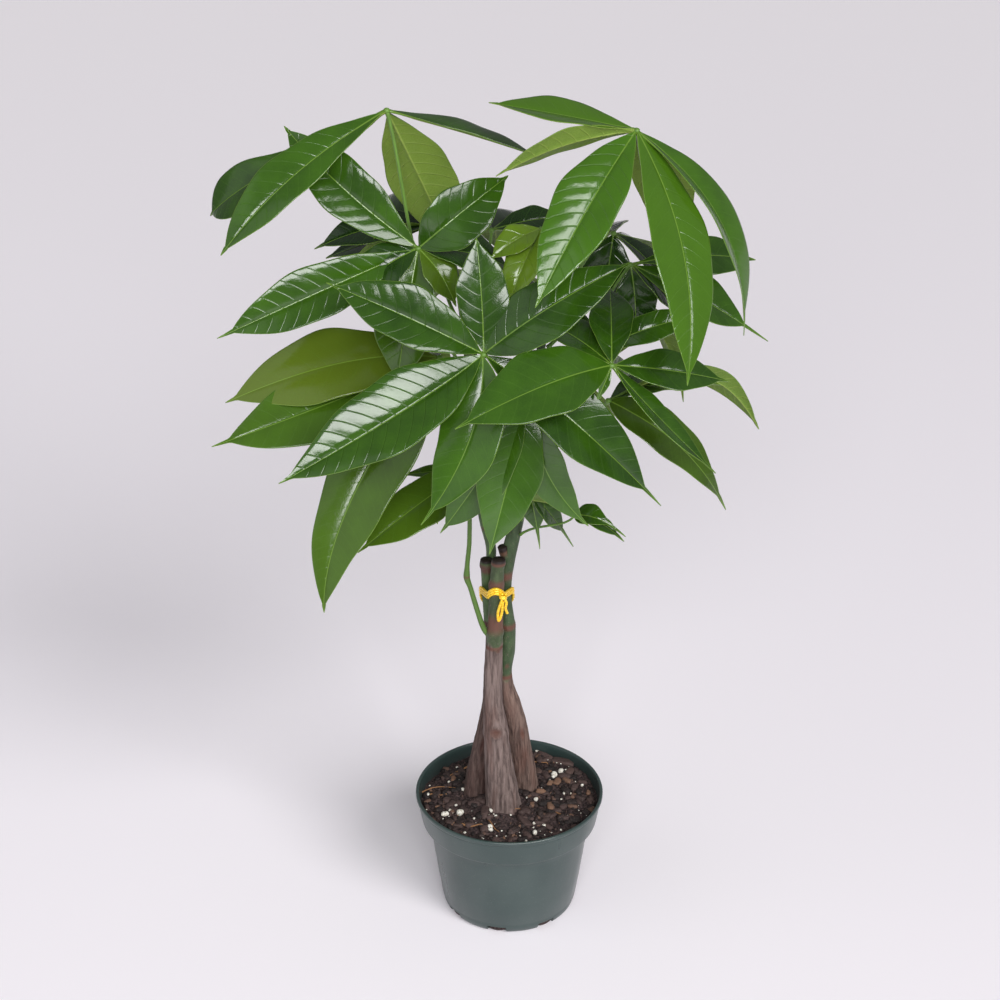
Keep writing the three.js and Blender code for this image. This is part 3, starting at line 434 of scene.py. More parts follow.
# Tie
TIE_RADIUS = 1.12
TIE_STRANDS = 3
TIE_HEIGHT = 289
TIE_PITCH = 2.2
TIE_GAP = 0.1
TIE_DROP_RIGHT = 0.5
TIE_DROP_BACK = 12
TIE_SIDES = 14
TIE_STEPS = 120
KNOT_PLACE = (-5.3, -15.9, 299.2)
KNOT_TURNS = 2.2
KNOT_SIZE = (2.1, 1.5, 1.6)
KNOT_STEPS = 90
TIE_END_STEPS = 60
TIE_ENDS = [
    [(0, 0, -1), (-2, -1.6, -6), (-4, -1.8, -14), (-3.5, -2, -21), (-1.2, -2, -15), (0, -1, -4)],
    [(0, 0, -1), (2.6, -1, -5), (2, -1.4, -10), (3.4, -1, -15)],
]


# Numbers and vectors

def unit(v):
    return np.asarray(v, float) / np.linalg.norm(v)


def mix(a, b, t):
    return a + (b - a) * t


def smooth(low, high, x):
    t = np.clip((np.asarray(x, float) - low) / (high - low), 0, 1)
    return t * t * (3 - 2 * t)


def through(xs, ys, x):
    """A smooth curve through rows of values that never overshoots them."""
    xs, ys = np.asarray(xs, float), np.asarray(ys, float)
    gap = np.diff(xs)[:, None]
    slope = np.diff(ys, axis=0) / gap
    same = slope[:-1] * slope[1:] > 0
    total = np.where(same, slope[:-1] + slope[1:], 1)
    inner = np.where(same, 2 * slope[:-1] * slope[1:] / total, 0)
    grade = np.vstack([slope[:1], inner, slope[-1:]])
    i = np.clip(np.searchsorted(xs, x) - 1, 0, len(xs) - 2)
    h = gap[i]
    t = ((np.asarray(x, float) - xs[i])[:, None]) / h
    return (
        ys[i] * (1 + 2 * t) * (1 - t) ** 2 + ys[i + 1] * t * t * (3 - 2 * t)
        + grade[i] * h * t * (1 - t) ** 2 + grade[i + 1] * h * t * t * (t - 1)
    )


def turns(sides):
    """Even angles round a full turn."""
    return np.arange(sides) * TURN / sides


def lathe(radii, heights, sides):
    """Level rings about the upright axis, one for each radius and height."""
    radii, heights = np.asarray(radii, float)[:, None], np.asarray(heights, float)[:, None]
    turn = turns(sides)
    return np.stack(
        np.broadcast_arrays(radii * np.cos(turn), radii * np.sin(turn), heights), axis=-1)


def bumps(points, scale, octaves=3, shift=0.0):
    """Soft seeded noise between about -1 and 1 at each point, with waves of that size."""
    place = np.asarray(points, float) / scale + shift
    return np.array([noise.fractal(Vector(p), 1.0, 2.0, octaves) for p in place])


# Meshes

class Piece:
    """Gathers the points in millimetres, faces and point values of one visible piece."""

    def __init__(self):
        self.points = []
        self.faces = []
        self.paints = []
        self.values = {}
        self.count = 0

    def add(self, points, faces, paint=0, **values):
        points = np.asarray(points, float).reshape(-1, 3)
        paints = np.broadcast_to(paint, len(faces))
        self.faces.extend((np.asarray(faces) + self.count).tolist())
        self.paints.extend(paints.tolist())
        for name in set(values) | set(self.values):
            column = self.values.setdefault(name, [np.zeros(self.count)])
            given = np.asarray(values.get(name, 0.0), float).reshape(-1)
            column.append(np.broadcast_to(given, len(points)))
        self.points.append(points)
        self.count += len(points)

    def add_tube(self, rings, paint=0, **values):
        """Closes rings of points, counterclockwise seen from the far end, into one solid."""
        rows, sides, _ = rings.shape
        centres = [rings[0].mean(axis=0), rings[-1].mean(axis=0)]
        points = np.vstack([rings.reshape(-1, 3), centres])
        first, last = rows * sides, rows * sides + 1
        k = np.arange(sides)
        after = (k + 1) % sides
        foot = np.stack([after, k, np.full(sides, first)], axis=1)
        end = (rows - 1) * sides
        head = np.stack([end + k, end + after, np.full(sides, last)], axis=1)
        row = np.arange(rows - 1)[:, None] * sides
        corners = [row + k, row + after, row + sides + after, row + sides + k]
        walls = np.stack(corners, axis=-1).reshape(-1, 4)
        paint = np.broadcast_to(paint, (rows - 1, sides)).reshape(-1)
        spread = {}
        for name, value in values.items():
            value = np.broadcast_to(np.asarray(value, float), (rows, sides))
            spread[name] = np.append(value.reshape(-1), [value[0].mean(), value[-1].mean()])
        start = self.count
        self.add(points, walls, paint, **spread)
        for cap, side in ((foot, paint[0]), (head, paint[-1])):
            self.faces.extend((cap + start).tolist())
            self.paints.extend([int(side)] * sides)

    def build(self, name, materials, node=None):
        mesh = bpy.data.meshes.new(name)
        points = np.vstack(self.points) * MM
        mesh.from_pydata(points.tolist(), [], self.faces)
        for material in materials:
            mesh.materials.append(material)
        mesh.polygons.foreach_set("material_index", self.paints)
        mesh.polygons.foreach_set("use_smooth", [True] * len(self.faces))
        for label, columns in self.values.items():
            attribute = mesh.attributes.new(label, "FLOAT", "POINT")
            attribute.data.foreach_set("value", np.concatenate(columns))
        mesh.update()
        piece = bpy.data.objects.new(name, mesh)
        bpy.context.scene.collection.objects.link(piece)
        if node:
            declare(piece, node)
        return piece


def declare(piece, node):
    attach(piece, "root")
    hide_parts(node)


def tube_rings(points, radii, sides, swell=1):
    """Round rings along a line, with the least twist. swell is a factor on each radius."""
    points = np.asarray(points, float)
    along = np.gradient(points, axis=0)
    along /= np.linalg.norm(along, axis=1)[:, None]
    side = np.array([1.0, 0, 0]) if abs(along[0][1]) > 0.9 else np.array([0, 1.0, 0])
    one = []
    for heading in along:
        side = unit(side - heading * heading.dot(side))
        one.append(side)
    one = np.array(one)
    two = np.cross(along, one)
    turn = turns(sides)
    reach = np.broadcast_to(np.asarray(radii, float).reshape(-1, 1) * swell, (len(points), sides))
    out = one[:, None] * np.cos(turn)[:, None] + two[:, None] * np.sin(turn)[:, None]
    return points[:, None] + out * reach[..., None]


def spline(points, count):
    """A smooth line through a few points."""
    points = np.asarray(points, float)
    steps = np.linalg.norm(np.diff(points, axis=0), axis=1)
    place = np.concatenate([[0], np.cumsum(steps)])
    padded = np.vstack([2 * points[0] - points[1], points, 2 * points[-1] - points[-2]])
    line = []
    for s in np.linspace(0, place[-1], count):
        i = int(np.clip(np.searchsorted(place, s) - 1, 0, len(points) - 2))
        t = (s - place[i]) / steps[i]
        a, b, c, d = padded[i:i + 4]
        line.append(0.5 * (2 * b + (c - a) * t + (2 * a - 5 * b + 4 * c - d) * t * t
                           + (3 * b - a - 3 * c + d) * t ** 3))
    return np.array(line)


def ball(radius, rows, sides):
    """Level rings of a ball about the origin."""
    tilt = np.linspace(0, math.pi, rows + 2)[1:-1]
    return lathe(np.sin(tilt), -np.cos(tilt), sides) * radius


# Materials

def shade(colour, factor):
    return tuple(channel * factor for channel in colour)


class Paint:
    """One procedural material, with short calls for the nodes that it is made of."""

    def __init__(self, name, specular, metallic=0.0):
        self.material = bpy.data.materials.new(name)
        self.material.use_nodes = True
        self.tree = self.material.node_tree
        self.shader = self.tree.nodes["Principled BSDF"]
        self.shader.inputs["Specular IOR Level"].default_value = specular
        self.shader.inputs["Metallic"].default_value = metallic

    def feed(self, socket, value):
        if isinstance(value, bpy.types.NodeSocket):
            self.tree.links.new(value, socket)
        else:
            socket.default_value = (*value, 1) if isinstance(value, tuple) else value

    def value(self, name):
        node = self.tree.nodes.new("ShaderNodeAttribute")
        node.attribute_name = name
        return node.outputs["Fac"]

    def math(self, kind, a, b=0.0):
        node = self.tree.nodes.new("ShaderNodeMath")
        node.operation = kind
        self.feed(node.inputs[0], a)
        self.feed(node.inputs[1], b)
        return node.outputs[0]

    def step(self, value, low, high, start=0.0, end=1.0):
        """Goes smoothly from start to end as value goes from low to high."""
        node = self.tree.nodes.new("ShaderNodeMapRange")
        node.interpolation_type = "SMOOTHSTEP"
        self.feed(node.inputs["Value"], value)
        for name, number in (("From Min", low), ("From Max", high), ("To Min", start), ("To Max", end)):
            self.feed(node.inputs[name], number)
        return node.outputs["Result"]

    def texture(self, kind, scale, stretch=(1, 1, 1)):
        """A texture in the piece's own coordinates, drawn out along an axis by a low stretch."""
        place = self.tree.nodes.new("ShaderNodeTexCoord")
        sized = self.tree.nodes.new("ShaderNodeMapping")
        sized.inputs["Scale"].default_value = stretch
        self.tree.links.new(place.outputs["Object"], sized.inputs["Vector"])
        node = self.tree.nodes.new(kind)
        node.inputs["Scale"].default_value = scale
        self.tree.links.new(sized.outputs["Vector"], node.inputs["Vector"])
        return node

    def noise(self, scale, detail=3.0, stretch=(1, 1, 1), rough=0.5):
        node = self.texture("ShaderNodeTexNoise", scale, stretch)
        node.inputs["Detail"].default_value = detail
        node.inputs["Roughness"].default_value = rough
        return node.outputs["Fac"]

    def net(self, scale, width):
        """Fine lines between small cells: 1 on a line, and 0 from that width on."""
        node = self.texture("ShaderNodeTexVoronoi", scale)
        node.feature = "DISTANCE_TO_EDGE"
        return self.step(node.outputs["Distance"], 0.0, width, 1, 0)

    def off_vein(self):
        """0 on a lateral vein, rising to 1 half way to the next."""
        swing = self.math("SUBTRACT", self.math("FRACT", self.value("phase")), 0.5)
        return self.math("MULTIPLY", self.math("ABSOLUTE", swing), 2.0)

    def leaf_tone(self, patches, middle, share):
        """From 0 for deep to 1 for fresh green: the leaflet's tint, broken up by patches. Low tints
        also paint shade on leaflets inside the crown.
        """
        broken = self.math("MULTIPLY", self.math("SUBTRACT", patches, middle), share)
        tint = self.math("MULTIPLY", self.value("tint"), TINT_SHARE)
        return self.step(self.math("ADD", tint, broken), 0, 1)

    def mix(self, factor, a, b):
        node = self.tree.nodes.new("ShaderNodeMix")
        node.data_type = "RGBA"
        for name, value in (("Factor", factor), ("A", a), ("B", b)):
            self.feed(node.inputs[name], value)
        return node.outputs["Result"]

    def coat(self, base, colour, mask, share):
        """The base, with that share of a colour over it where the mask is 1."""
        return self.mix(self.math("MULTIPLY", mask, share), base, colour)

    def finish(self, colour, roughness, *bumps):
        """Each bump is a height between 0 and 1 and its depth in millimetres."""
        self.feed(self.shader.inputs["Base Color"], colour)
        self.feed(self.shader.inputs["Roughness"], roughness)
        socket = self.shader.inputs["Normal"]
        for height, depth in reversed(bumps):
            node = self.tree.nodes.new("ShaderNodeBump")
            node.inputs["Distance"].default_value = abs(depth) * MM
            node.invert = depth < 0
            self.feed(node.inputs["Height"], height)
            self.tree.links.new(node.outputs["Normal"], socket)
            socket = node.inputs["Normal"]
        return self.material


def leaf_upper(name, deep, fresh, rib_colour, vein_colour):
    """Glossy upper side: sunken lateral veins, a pale midrib, a pale thin rim that is a painted
    highlight along the rolled edge, and an olive painted backlight.
    """
    p = Paint(name, 0.5)
    off_vein = p.off_vein()
    vein = p.step(off_vein, 0.02, 0.12, 1, 0)
    groove = p.math("MULTIPLY", p.step(off_vein, 0.0, 0.14), p.value("relief"))
    rib = p.step(p.value("rib"), 0.3, 0.85, 1, 0)
    rim = p.step(p.value("rim"), 0.15, 0.5, 1, 0)
    fine = p.net(620, 0.12)
    base = p.mix(p.leaf_tone(p.noise(42, 4), 0.1, 0.6), deep, fresh)
    # painted backlight: leaflets with a backlight glow turn olive yellow
    base = p.mix(p.value("glow"), base, BACKLIT_OLIVE)
    base = p.coat(base, vein_colour, fine, 0.06)
    base = p.coat(base, vein_colour, vein, 0.1)
    base = p.coat(base, rib_colour, rib, 0.6)
    # painted highlight: a pale thin rim along the edge, standing in for light caught by the rolled
    # margin
    base = p.coat(base, rib_colour, rim, 0.55)
    grain = p.noise(260)
    return p.finish(base, p.step(grain, 0.25, 0.75, 0.09, 0.15),
                    (groove, 0.2), (fine, -0.008), (grain, 0.05))


def leaf_under(name, deep, fresh, vein_colour):
    """Paler matt underside with raised veins."""
    p = Paint(name, 0.35)
    vein = p.step(p.off_vein(), 0.03, 0.14, 1, 0)
    fine = p.net(520, 0.14)
    base = p.mix(p.leaf_tone(p.noise(38), 0.5, 0.7), deep, fresh)
    base = p.coat(base, vein_colour, fine, 0.2)
    base = p.coat(base, vein_colour, vein, 0.5)
    base = p.mix(p.step(p.value("rib"), 0.7, 1.3, 1, 0), base, vein_colour)
    return p.finish(base, p.step(p.noise(300, 2), 0.3, 0.7, 0.48, 0.62),
                    (vein, 0.3), (fine, 0.08), (p.noise(500, 2), 0.06))


def stalk_green(name, green):
    """Smooth leaf stalks with faint long streaks and brown specks."""
    p = Paint(name, 0.45)
    streak = p.noise(300, 3, (1, 1, 0.15))
    base = p.mix(p.step(streak, 0.3, 0.75), green, shade(green, 1.5))
    base = p.coat(base, STALK_BROWN, p.step(p.noise(700, 2), 0.66, 0.74), 0.6)
    return p.finish(base, p.step(streak, 0.2, 0.8, 0.38, 0.55), (streak, 0.12))


def bark(name, light, dark, green, brown):
    """Grey-brown fibrous bark that turns into smooth green stem with brown rings above. Its recesses
    and knot hollows are darkened with painted shade.
    """
    p = Paint(name, 0.3)
    fibre = p.noise(420, 5, (1, 1, 0.07), 0.65)
    wood = p.mix(p.step(fibre, 0.3, 0.68), dark, light)
    wood = p.mix(p.step(p.noise(95, 4, (1, 1, 0.2)), 0.45, 0.72, 0, 0.45), wood, brown)
    # painted shade: recesses and knot hollows go towards a very dark brown
    wood = p.mix(p.value("hollow"), wood, shade(dark, 0.35))
    fleck = p.noise(240, 3, (1, 1, 0.45))
    stem = p.mix(p.step(fleck, 0.35, 0.75), green, shade(green, 1.55))
    stem = p.mix(p.value("young"), stem, YOUNG_STEM)
    stem = p.mix(p.step(p.noise(900, 2), 0.62, 0.7, 0, 0.5), stem, light)
    is_green = p.value("green")
    skin = p.mix(is_green, wood, stem)
    skin = p.coat(skin, brown, p.value("ring"), p.step(fibre, 0.2, 0.6, 0.65, 1))
    skin = p.mix(p.value("cut"), skin, shade(dark, 0.3))
    rough = p.math("MULTIPLY", fibre, p.step(is_green, 0, 1, 1, 0.15))
    return p.finish(skin, p.step(is_green, 0, 1, 0.85, 0.5),
                    (rough, 1.6), (p.noise(700, 3, (1, 1, 0.3)), 0.25))


def plastic():
    """Satin dark green moulded plastic with fine flow marks and dust specks, its inside wall darkened
    to near black with painted shade and made matt.
    """
    p = Paint("pot_plastic_green", 0.75)
    streak = p.noise(60, 3, (1, 1, 0.12))
    inside = p.value("inside")
    base = p.mix(p.step(p.noise(26, 4), 0.3, 0.75), (0.025, 0.046, 0.043), (0.040, 0.063, 0.059))
    base = p.mix(p.step(p.noise(1500, 2), 0.68, 0.74, 0, 0.35), base, (0.3, 0.33, 0.31))
    # painted shade: the inside wall is coated most of the way to near black
    base = p.coat(base, (0.008, 0.011, 0.010), inside, 0.85)
    gloss = p.step(streak, 0.3, 0.7, 0.27, 0.38)
    return p.finish(base, p.math("ADD", gloss, p.math("MULTIPLY", inside, 0.35)),
                    (p.noise(1100, 2), 0.02), (streak, 0.04))


def soil_mix():
    p = Paint("soil_crumbs", 0.25)
    crumb = p.noise(520, 6, rough=0.7)
    base = p.mix(p.step(crumb, 0.35, 0.7), (0.014, 0.010, 0.011), (0.100, 0.066, 0.063))
    base = p.mix(p.step(p.noise(70), 0.5, 0.7, 0, 0.5), base, (0.040, 0.022, 0.019))
    return p.finish(base, p.step(crumb, 0.3, 0.7, 0.95, 0.6), (crumb, 1.6), (p.noise(1500), 0.4))


def chip_bark():
    """Bark chips: each has its own tone, from near black to red-brown and tan."""
    p = Paint("bark_chip", 0.3)
    tone = p.value("tone")
    grain = p.noise(650, 4, rough=0.6)
    base = p.mix(p.step(tone, 0, 0.6), (0.016, 0.012, 0.012), (0.070, 0.044, 0.040))
    base = p.mix(p.step(tone, 0.75, 1.0), base, (0.19, 0.105, 0.068))
    base = p.mix(p.step(grain, 0.45, 0.8, 0, 0.5), base, (0.10, 0.072, 0.064))
    return p.finish(base, p.step(grain, 0.3, 0.7, 0.9, 0.6), (grain, 0.7))


def perlite_white():
    p = Paint("perlite", 0.4)
    pore = p.noise(900)
    base = p.mix(p.step(pore, 0.35, 0.6), (0.42, 0.38, 0.30), (0.80, 0.78, 0.72))
    return p.finish(base, 0.75, (pore, 0.5))


def fibre_tan():
    p = Paint("root_fibre", 0.3)
    base = p.mix(p.noise(400, 2), (0.14, 0.06, 0.025), (0.36, 0.19, 0.09))
    return p.finish(base, 0.7, (p.noise(1200, 2), 0.15))


def gold_wire():
    """Gold-yellow coated wire, a little scuffed."""
    p = Paint("gold_wire", 0.7, metallic=0.35)
    scuff = p.noise(700)
    base = p.mix(p.step(scuff, 0.35, 0.7), (0.86, 0.50, 0.008), (0.95, 0.68, 0.05))
    return p.finish(base, p.step(scuff, 0.3, 0.7, 0.18, 0.34), (scuff, 0.08))


def floor_paper():
    """Pale paper, with painted light in its tone: brighter round the pot, a little darker further out,
    brightest far away.
    """
    p = Paint("pale_floor", 0.1)
    place = p.tree.nodes.new("ShaderNodeTexCoord")
    away = p.tree.nodes.new("ShaderNodeVectorMath")
    away.operation = "LENGTH"
    p.tree.links.new(place.outputs["Object"], away.inputs[0])
    near = p.mix(p.step(away.outputs["Value"], 0.05, 0.9), FLOOR_NEAR, FLOOR_MIDDLE)
    return p.finish(p.mix(p.step(away.outputs["Value"], 0.6, 3.5), near, FLOOR_FAR), 0.9)


# Pot

def drain_axes():
    """The outward, sideways and upward directions at each drain notch."""
    for i in range(DRAIN_COUNT):
        angle = math.radians(DRAIN_FIRST_ANGLE + 360 * i / DRAIN_COUNT)
        out = (math.cos(angle), math.sin(angle), 0)
        yield np.array([out, (-out[1], out[0], 0), (0, 0, 1)])


def build_pot():
    piece = Piece()
    radii, heights = np.transpose(POT_OUTSIDE + POT_INSIDE)
    inside = (np.arange(1, len(radii) - 1) > len(POT_OUTSIDE) + 2).astype(float)
    piece.add_tube(lathe(radii[1:-1], heights[1:-1], POT_SIDES), inside=inside[:, None])
    pot = piece.build("pot_shell", [plastic()])
    cutters = Piece()
    levels = ((-1, 1), (1, DRAIN_TOP_SHARE))
    corners = np.array([(a, b * share, z) for z, share in levels for a, b in SQUARE])
    corners = corners * DRAIN_SIZE * (0.5, 0.5, 1) + (DRAIN_REACH, 0, 0)
    for axes in drain_axes():
        cutters.add(corners @ axes, DRAIN_FACES)
    cutter = cutters.build("drain_cutter", [])
    cut = pot.modifiers.new("drain_notches", "BOOLEAN")
    cut.operation = "DIFFERENCE"
    cut.object = cutter
    bpy.context.view_layer.update()
    depsgraph = bpy.context.evaluated_depsgraph_get()
    mesh = bpy.data.meshes.new_from_object(pot.evaluated_get(depsgraph))
    pot.modifiers.clear()
    pot.data = mesh
    bpy.data.objects.remove(cutter)
    mesh.set_sharp_from_angle(angle=math.radians(50))
    declare(pot, "pot")


# Soil

def soil_height(x, y):
    """The height of the loose surface, heaped round the trunks and towards the back."""
    height = SOIL_TOP - SOIL_WALL_DROP * smooth(SOIL_WALL_FROM, 1, np.hypot(x, y) / SOIL_RADIUS)
    for name in TRUNKS:
        cx, cy, _, radius = STEMS[name][1]
        away = np.hypot(x - cx, y - cy) - radius
        height = height + SOIL_MOUND * np.exp(-np.clip(away, 0, None) ** 2 / SOIL_MOUND_REACH ** 2) / 2
    return height + SOIL_BACK_RISE * smooth(SOIL_BACK_FROM, SOIL_BACK_TO, 0.45 * x + 0.9 * y)


def build_soil():
    piece = Piece()
    reach = np.linspace(1, 0.02, SOIL_RINGS) ** 0.8
    top = lathe(SOIL_RADIUS * reach, np.zeros(SOIL_RINGS), SOIL_SIDES)
    flat = top.reshape(-1, 3)
    relief = SOIL_LUMP_HEIGHT * bumps(flat, SOIL_LUMP_SIZE) + bumps(flat, SOIL_CRUMB_SIZE, 3, 9)
    top[..., 2] = soil_height(top[..., 0], top[..., 1]) + relief.reshape(SOIL_RINGS, -1)
    piece.add_tube(np.vstack([lathe(*np.transpose(SOIL_BODY), SOIL_SIDES), top]))
    plug = ball(1, 7, 18) * PLUG_SIZE + (PLUG_REACH, 0, PLUG_SIZE[2] + SEAT_GAP)
    for axes in drain_axes():
        piece.add_tube(plug @ axes)
    piece.build("soil_bed", [soil_mix()], "soil")


def lump(rng, size, shape, place, jitter, rows=5, sides=9):
    """A ball squashed to size, turned and roughened. A shape under 1 squares it off."""
    points = ball(1, rows, sides).reshape(-1, 3)
    power = np.sign(points) * np.abs(points) ** shape
    rough = 1 + jitter * bumps(points * 10, 9, 2, rng.random() * 90)
    points = power * rough[:, None] * np.asarray(size)
    turn = rng.random() * TURN
    tilt = (rng.random() - 0.5) * LUMP_TILT
    c, s = math.cos(turn), math.sin(turn)
    ct, st = math.cos(tilt), math.sin(tilt)
    points = points @ np.array([[1, 0, 0], [0, ct, st], [0, -st, ct]])
    points = points @ np.array([[c, s, 0], [-s, c, 0], [0, 0, 1]])
    return (points + np.asarray(place)).reshape(rows, sides, 3)


def scatter(rng, count, reach):
    """Seeded places on the soil, clear of the trunks and the wall."""
    feet = [STEMS[name][1] for name in TRUNKS]
    places = []
    while len(places) < count:
        radius = (SOIL_RADIUS - reach - 1) * math.sqrt(rng.random())
        turn = TURN * rng.random()
        x, y = radius * math.cos(turn), radius * math.sin(turn)
        if all(math.hypot(x - cx, y - cy) >= radius + reach for cx, cy, _, radius in feet):
            places.append((x, y))
    return places


def build_chips():
    rng = random.Random(CHIP_SEED)
    piece = Piece()
    for x, y in scatter(rng, CHIP_COUNT, CHIP_MARGIN):
        length = mix(*CHIP_LENGTH, rng.random() ** 3)
        width = length * mix(*CHIP_WIDTH_SHARE, rng.random())
        size = (length, width, CHIP_THICKNESS + CHIP_THICKNESS_SHARE * length)
        z = soil_height(x, y) + 0.35 * size[2] + 0.6 * rng.random()
        tone = rng.random() ** 1.8
        piece.add_tube(lump(rng, size, 0.6, (x, y, z), 0.35), tone=tone)
    for x, y, length in LARGE_CHIPS:
        size = (length, length * LARGE_CHIP_WIDTH_SHARE, LARGE_CHIP_THICKNESS)
        z = soil_height(x, y) + LARGE_CHIP_LIFT
        tone = 1.0 if length < 5 else 0.66
        piece.add_tube(lump(rng, size, 0.55, (x, y, z), 0.3, 9, 16), tone=tone)
    piece.build("bark_chips", [chip_bark()], "soil")


def build_perlite():
    rng = random.Random(GRAIN_SEED)
    piece = Piece()
    places = scatter(rng, GRAIN_COUNT, GRAIN_MARGIN)
    loose = [(x, y, mix(*GRAIN_RADIUS, rng.random())) for x, y in places]
    large = [(x, y, PERLITE_SCALE * radius) for x, y, radius in PERLITE]
    for x, y, radius in large + loose:
        width = radius * mix(*GRAIN_WIDTH_SHARE, rng.random())
        size = (radius, width, radius * mix(*GRAIN_HEIGHT_SHARE, rng.random()))
        z = soil_height(x, y) + GRAIN_LIFT + 0.4 * radius
        piece.add_tube(lump(rng, size, 0.85, (x, y, z), 0.3, 7, 12))
    piece.build("perlite_grains", [perlite_white()], "soil")


def build_fibres():
    piece = Piece()
    for number, line in enumerate(FIBRES):
        points = spline([(x, y, soil_height(x, y) + FIBRE_LIFT) for x, y in line], 28)
        points[:, 2] += 0.7 * np.sin(np.linspace(0, math.pi, len(points)) * 2 + number)
        points[[0, -1], 2] -= FIBRE_LIFT
        radii = np.linspace(*FIBRE_RADII, len(points)) * (1 + 0.3 * (number % 3))
        piece.add_tube(tube_rings(points, radii, 8))
    piece.build("soil_fibres", [fibre_tan()], "soil")


# Trunks

def stem_at(name, z):
    rows = np.array(STEMS[name], float)
    return np.array([np.interp(z, rows[:, 2], rows[:, k]) for k in range(4)])


def stem_line(name, rows):
    """Even heights up a stem, with its place and radius at each."""
    table = np.array(STEMS[name], float)
    heights = np.linspace(table[0, 2], table[-1, 2], rows)
    return heights, through(table[:, 2], table[:, [0, 1, 3]], heights)


def ring_marks(name, heights):
    """1 on the brown rings of a stem and 0 between them."""
    marks = np.zeros_like(heights)
    for height, spread in RINGS[name]:
        marks = np.maximum(marks, np.exp(-((heights - height) / spread) ** 4))
    return marks


def add_trunk(piece, name):
    """Level rings round one trunk. Its bark is ridged, flared at the foot and knotted."""
    heights, line = stem_line(name, TRUNK_ROWS)
    turn = turns(TRUNK_SIDES)
    z = heights[:, None]
    cos, sin = np.cos(turn)[None, :], np.sin(turn)[None, :]
    start = GREEN_FROM[name]
    green = smooth(start - 3, start + 3, z + 2.5 * np.sin(3 * turn + heights[0]))
    wave = np.sin(5 * turn + z / 23) + np.sin(3 * turn - z / 31)
    spots = np.stack(np.broadcast_arrays(cos * 2.2, sin * 2.2, z / 26), axis=-1).reshape(-1, 3)
    fine = bumps(spots, 0.42, 4).reshape(len(heights), -1)
    broad = bumps(spots, 1.6, 3, 5.0).reshape(len(heights), -1)
    rough = 1 - 0.9 * green
    factor = 1 - 0.035 * (2 + wave) / 4 + rough * (BARK_FINE * fine + BARK_BROAD * broad)
    flare = np.exp(-np.clip(z - FLARE_FROM, 0, None) / FLARE_REACH)
    factor = factor + FLARE_SHARE * flare * (0.4 + np.sin(11 * turn + 3 * fine))
    # painted shade mask: higher where the bark is sunken between its fibres and in knot hollows
    hollow = smooth(0.1, 0.75, -fine) * rough * 0.3
    scar = np.zeros_like(hollow)
    for angle, height, width, tall, depth in KNOTS[name]:
        across = (np.angle(np.exp(1j * (turn - math.radians(angle))))[None, :] * line[:, 2:3]) / width
        up = (z - height) / tall
        far = np.hypot(across, up)
        factor = factor + depth * (np.exp(-((far - 1) / 0.35) ** 2) - 1.3 * np.exp(-(far / 0.55) ** 2))
        hollow = np.maximum(hollow, 0.8 * np.exp(-(across / 0.7) ** 2 - (up / 0.25) ** 2))
        scar = np.maximum(scar, np.exp(-far ** 4))
    reach = line[:, 2:3] * factor
    places = np.broadcast_arrays(line[:, 0:1] + reach * cos, line[:, 1:2] + reach * sin, z)
    top = smooth(heights[-1] - 3, heights[-1] - 1, z)
    marks = np.maximum(ring_marks(name, heights)[:, None], 0.75 * scar)
    piece.add_tube(np.stack(places, axis=-1), green=green, hollow=hollow, ring=marks,
                   cut=top * (name != "right"))


def add_shoot(piece, name):
    heights, line = stem_line(name, SHOOT_ROWS[name])
    points = np.column_stack([line[:, 0], line[:, 1], heights])
    swell = 1 + 0.03 * np.sin(3 * turns(SHOOT_SIDES)[None, :] + heights[:, None] / 9)
    cut = smooth(heights[-1] - 4, heights[-1] - 2, heights) * (name == "stub")
    rings = tube_rings(points, line[:, 2], SHOOT_SIDES, swell)
    piece.add_tube(rings, green=1.0, hollow=0.0, ring=0.8 * ring_marks(name, heights)[:, None],
                   cut=cut[:, None], young=float(name == "side"))


def build_trunks():
    for name in TRUNKS:
        piece = Piece()
        add_trunk(piece, name)
        add_shoot(piece, SHOOT_OF[name])
        skin = bark(f"bark_{name}", *BARKS[name])
        piece.build(f"trunk_{name}_bark", [skin], f"trunk_{name}")


# Tie

def tie_loop(height):
    """One strand round the three stems, pressed against whichever stands out furthest."""
    stems = [stem_at(name, height) for name in TRUNKS]
    points = []
    for turn in np.linspace(0, TURN, TIE_STEPS):
        out = np.array([math.cos(turn), math.sin(turn)])
        x, y, _, radius = max(stems, key=lambda stem: stem[:2] @ out + stem[3])
        reach = radius + TIE_GAP + TIE_RADIUS
        z = height - TIE_DROP_RIGHT * out[0] - TIE_DROP_BACK * out[1]
        points.append((x + reach * out[0], y + reach * out[1], z))
    points = np.array(points)
    for _ in range(3):
        points = (np.roll(points, 1, axis=0) + points + np.roll(points, -1, axis=0)) / 3
    points[-1] = points[0]
    return points


def build_tie():
    piece = Piece()
    lines = [tie_loop(TIE_HEIGHT + i * TIE_PITCH) for i in range(TIE_STRANDS)]
    twist = np.linspace(0, KNOT_TURNS * TURN, KNOT_STEPS)
    across, deep, tall = KNOT_SIZE
    fall = mix(tall, -tall - 0.2, twist / twist[-1])
    coil = np.column_stack([across * np.cos(twist), deep * np.sin(twist) - 0.4, fall])
    lines.append(coil + KNOT_PLACE)
    lines += [spline(np.add(end, KNOT_PLACE), TIE_END_STEPS) for end in TIE_ENDS]
    for line in lines:
        piece.add_tube(tube_rings(line, TIE_RADIUS, TIE_SIDES))
    piece.build("tie_strands", [gold_wire()], "tie")


# Leaves

def half_width(t, width, skew, tail):
    """Half the width of a blade, from its stalk at 0 to the end of its drip tip at 1."""
    body = np.sin(math.pi * np.minimum(t / (1 - tail), 1) ** skew)
    end = mix(TIP_HALF_WIDTH, TAIL_HALF_WIDTH, np.minimum((1 - t) / tail, 1))
    stalk = np.where(t < 0.5, STALK_HALF_WIDTH, end)
    return np.maximum((width / 2) * np.maximum(body, 0) ** BLADE_FULLNESS, stalk)


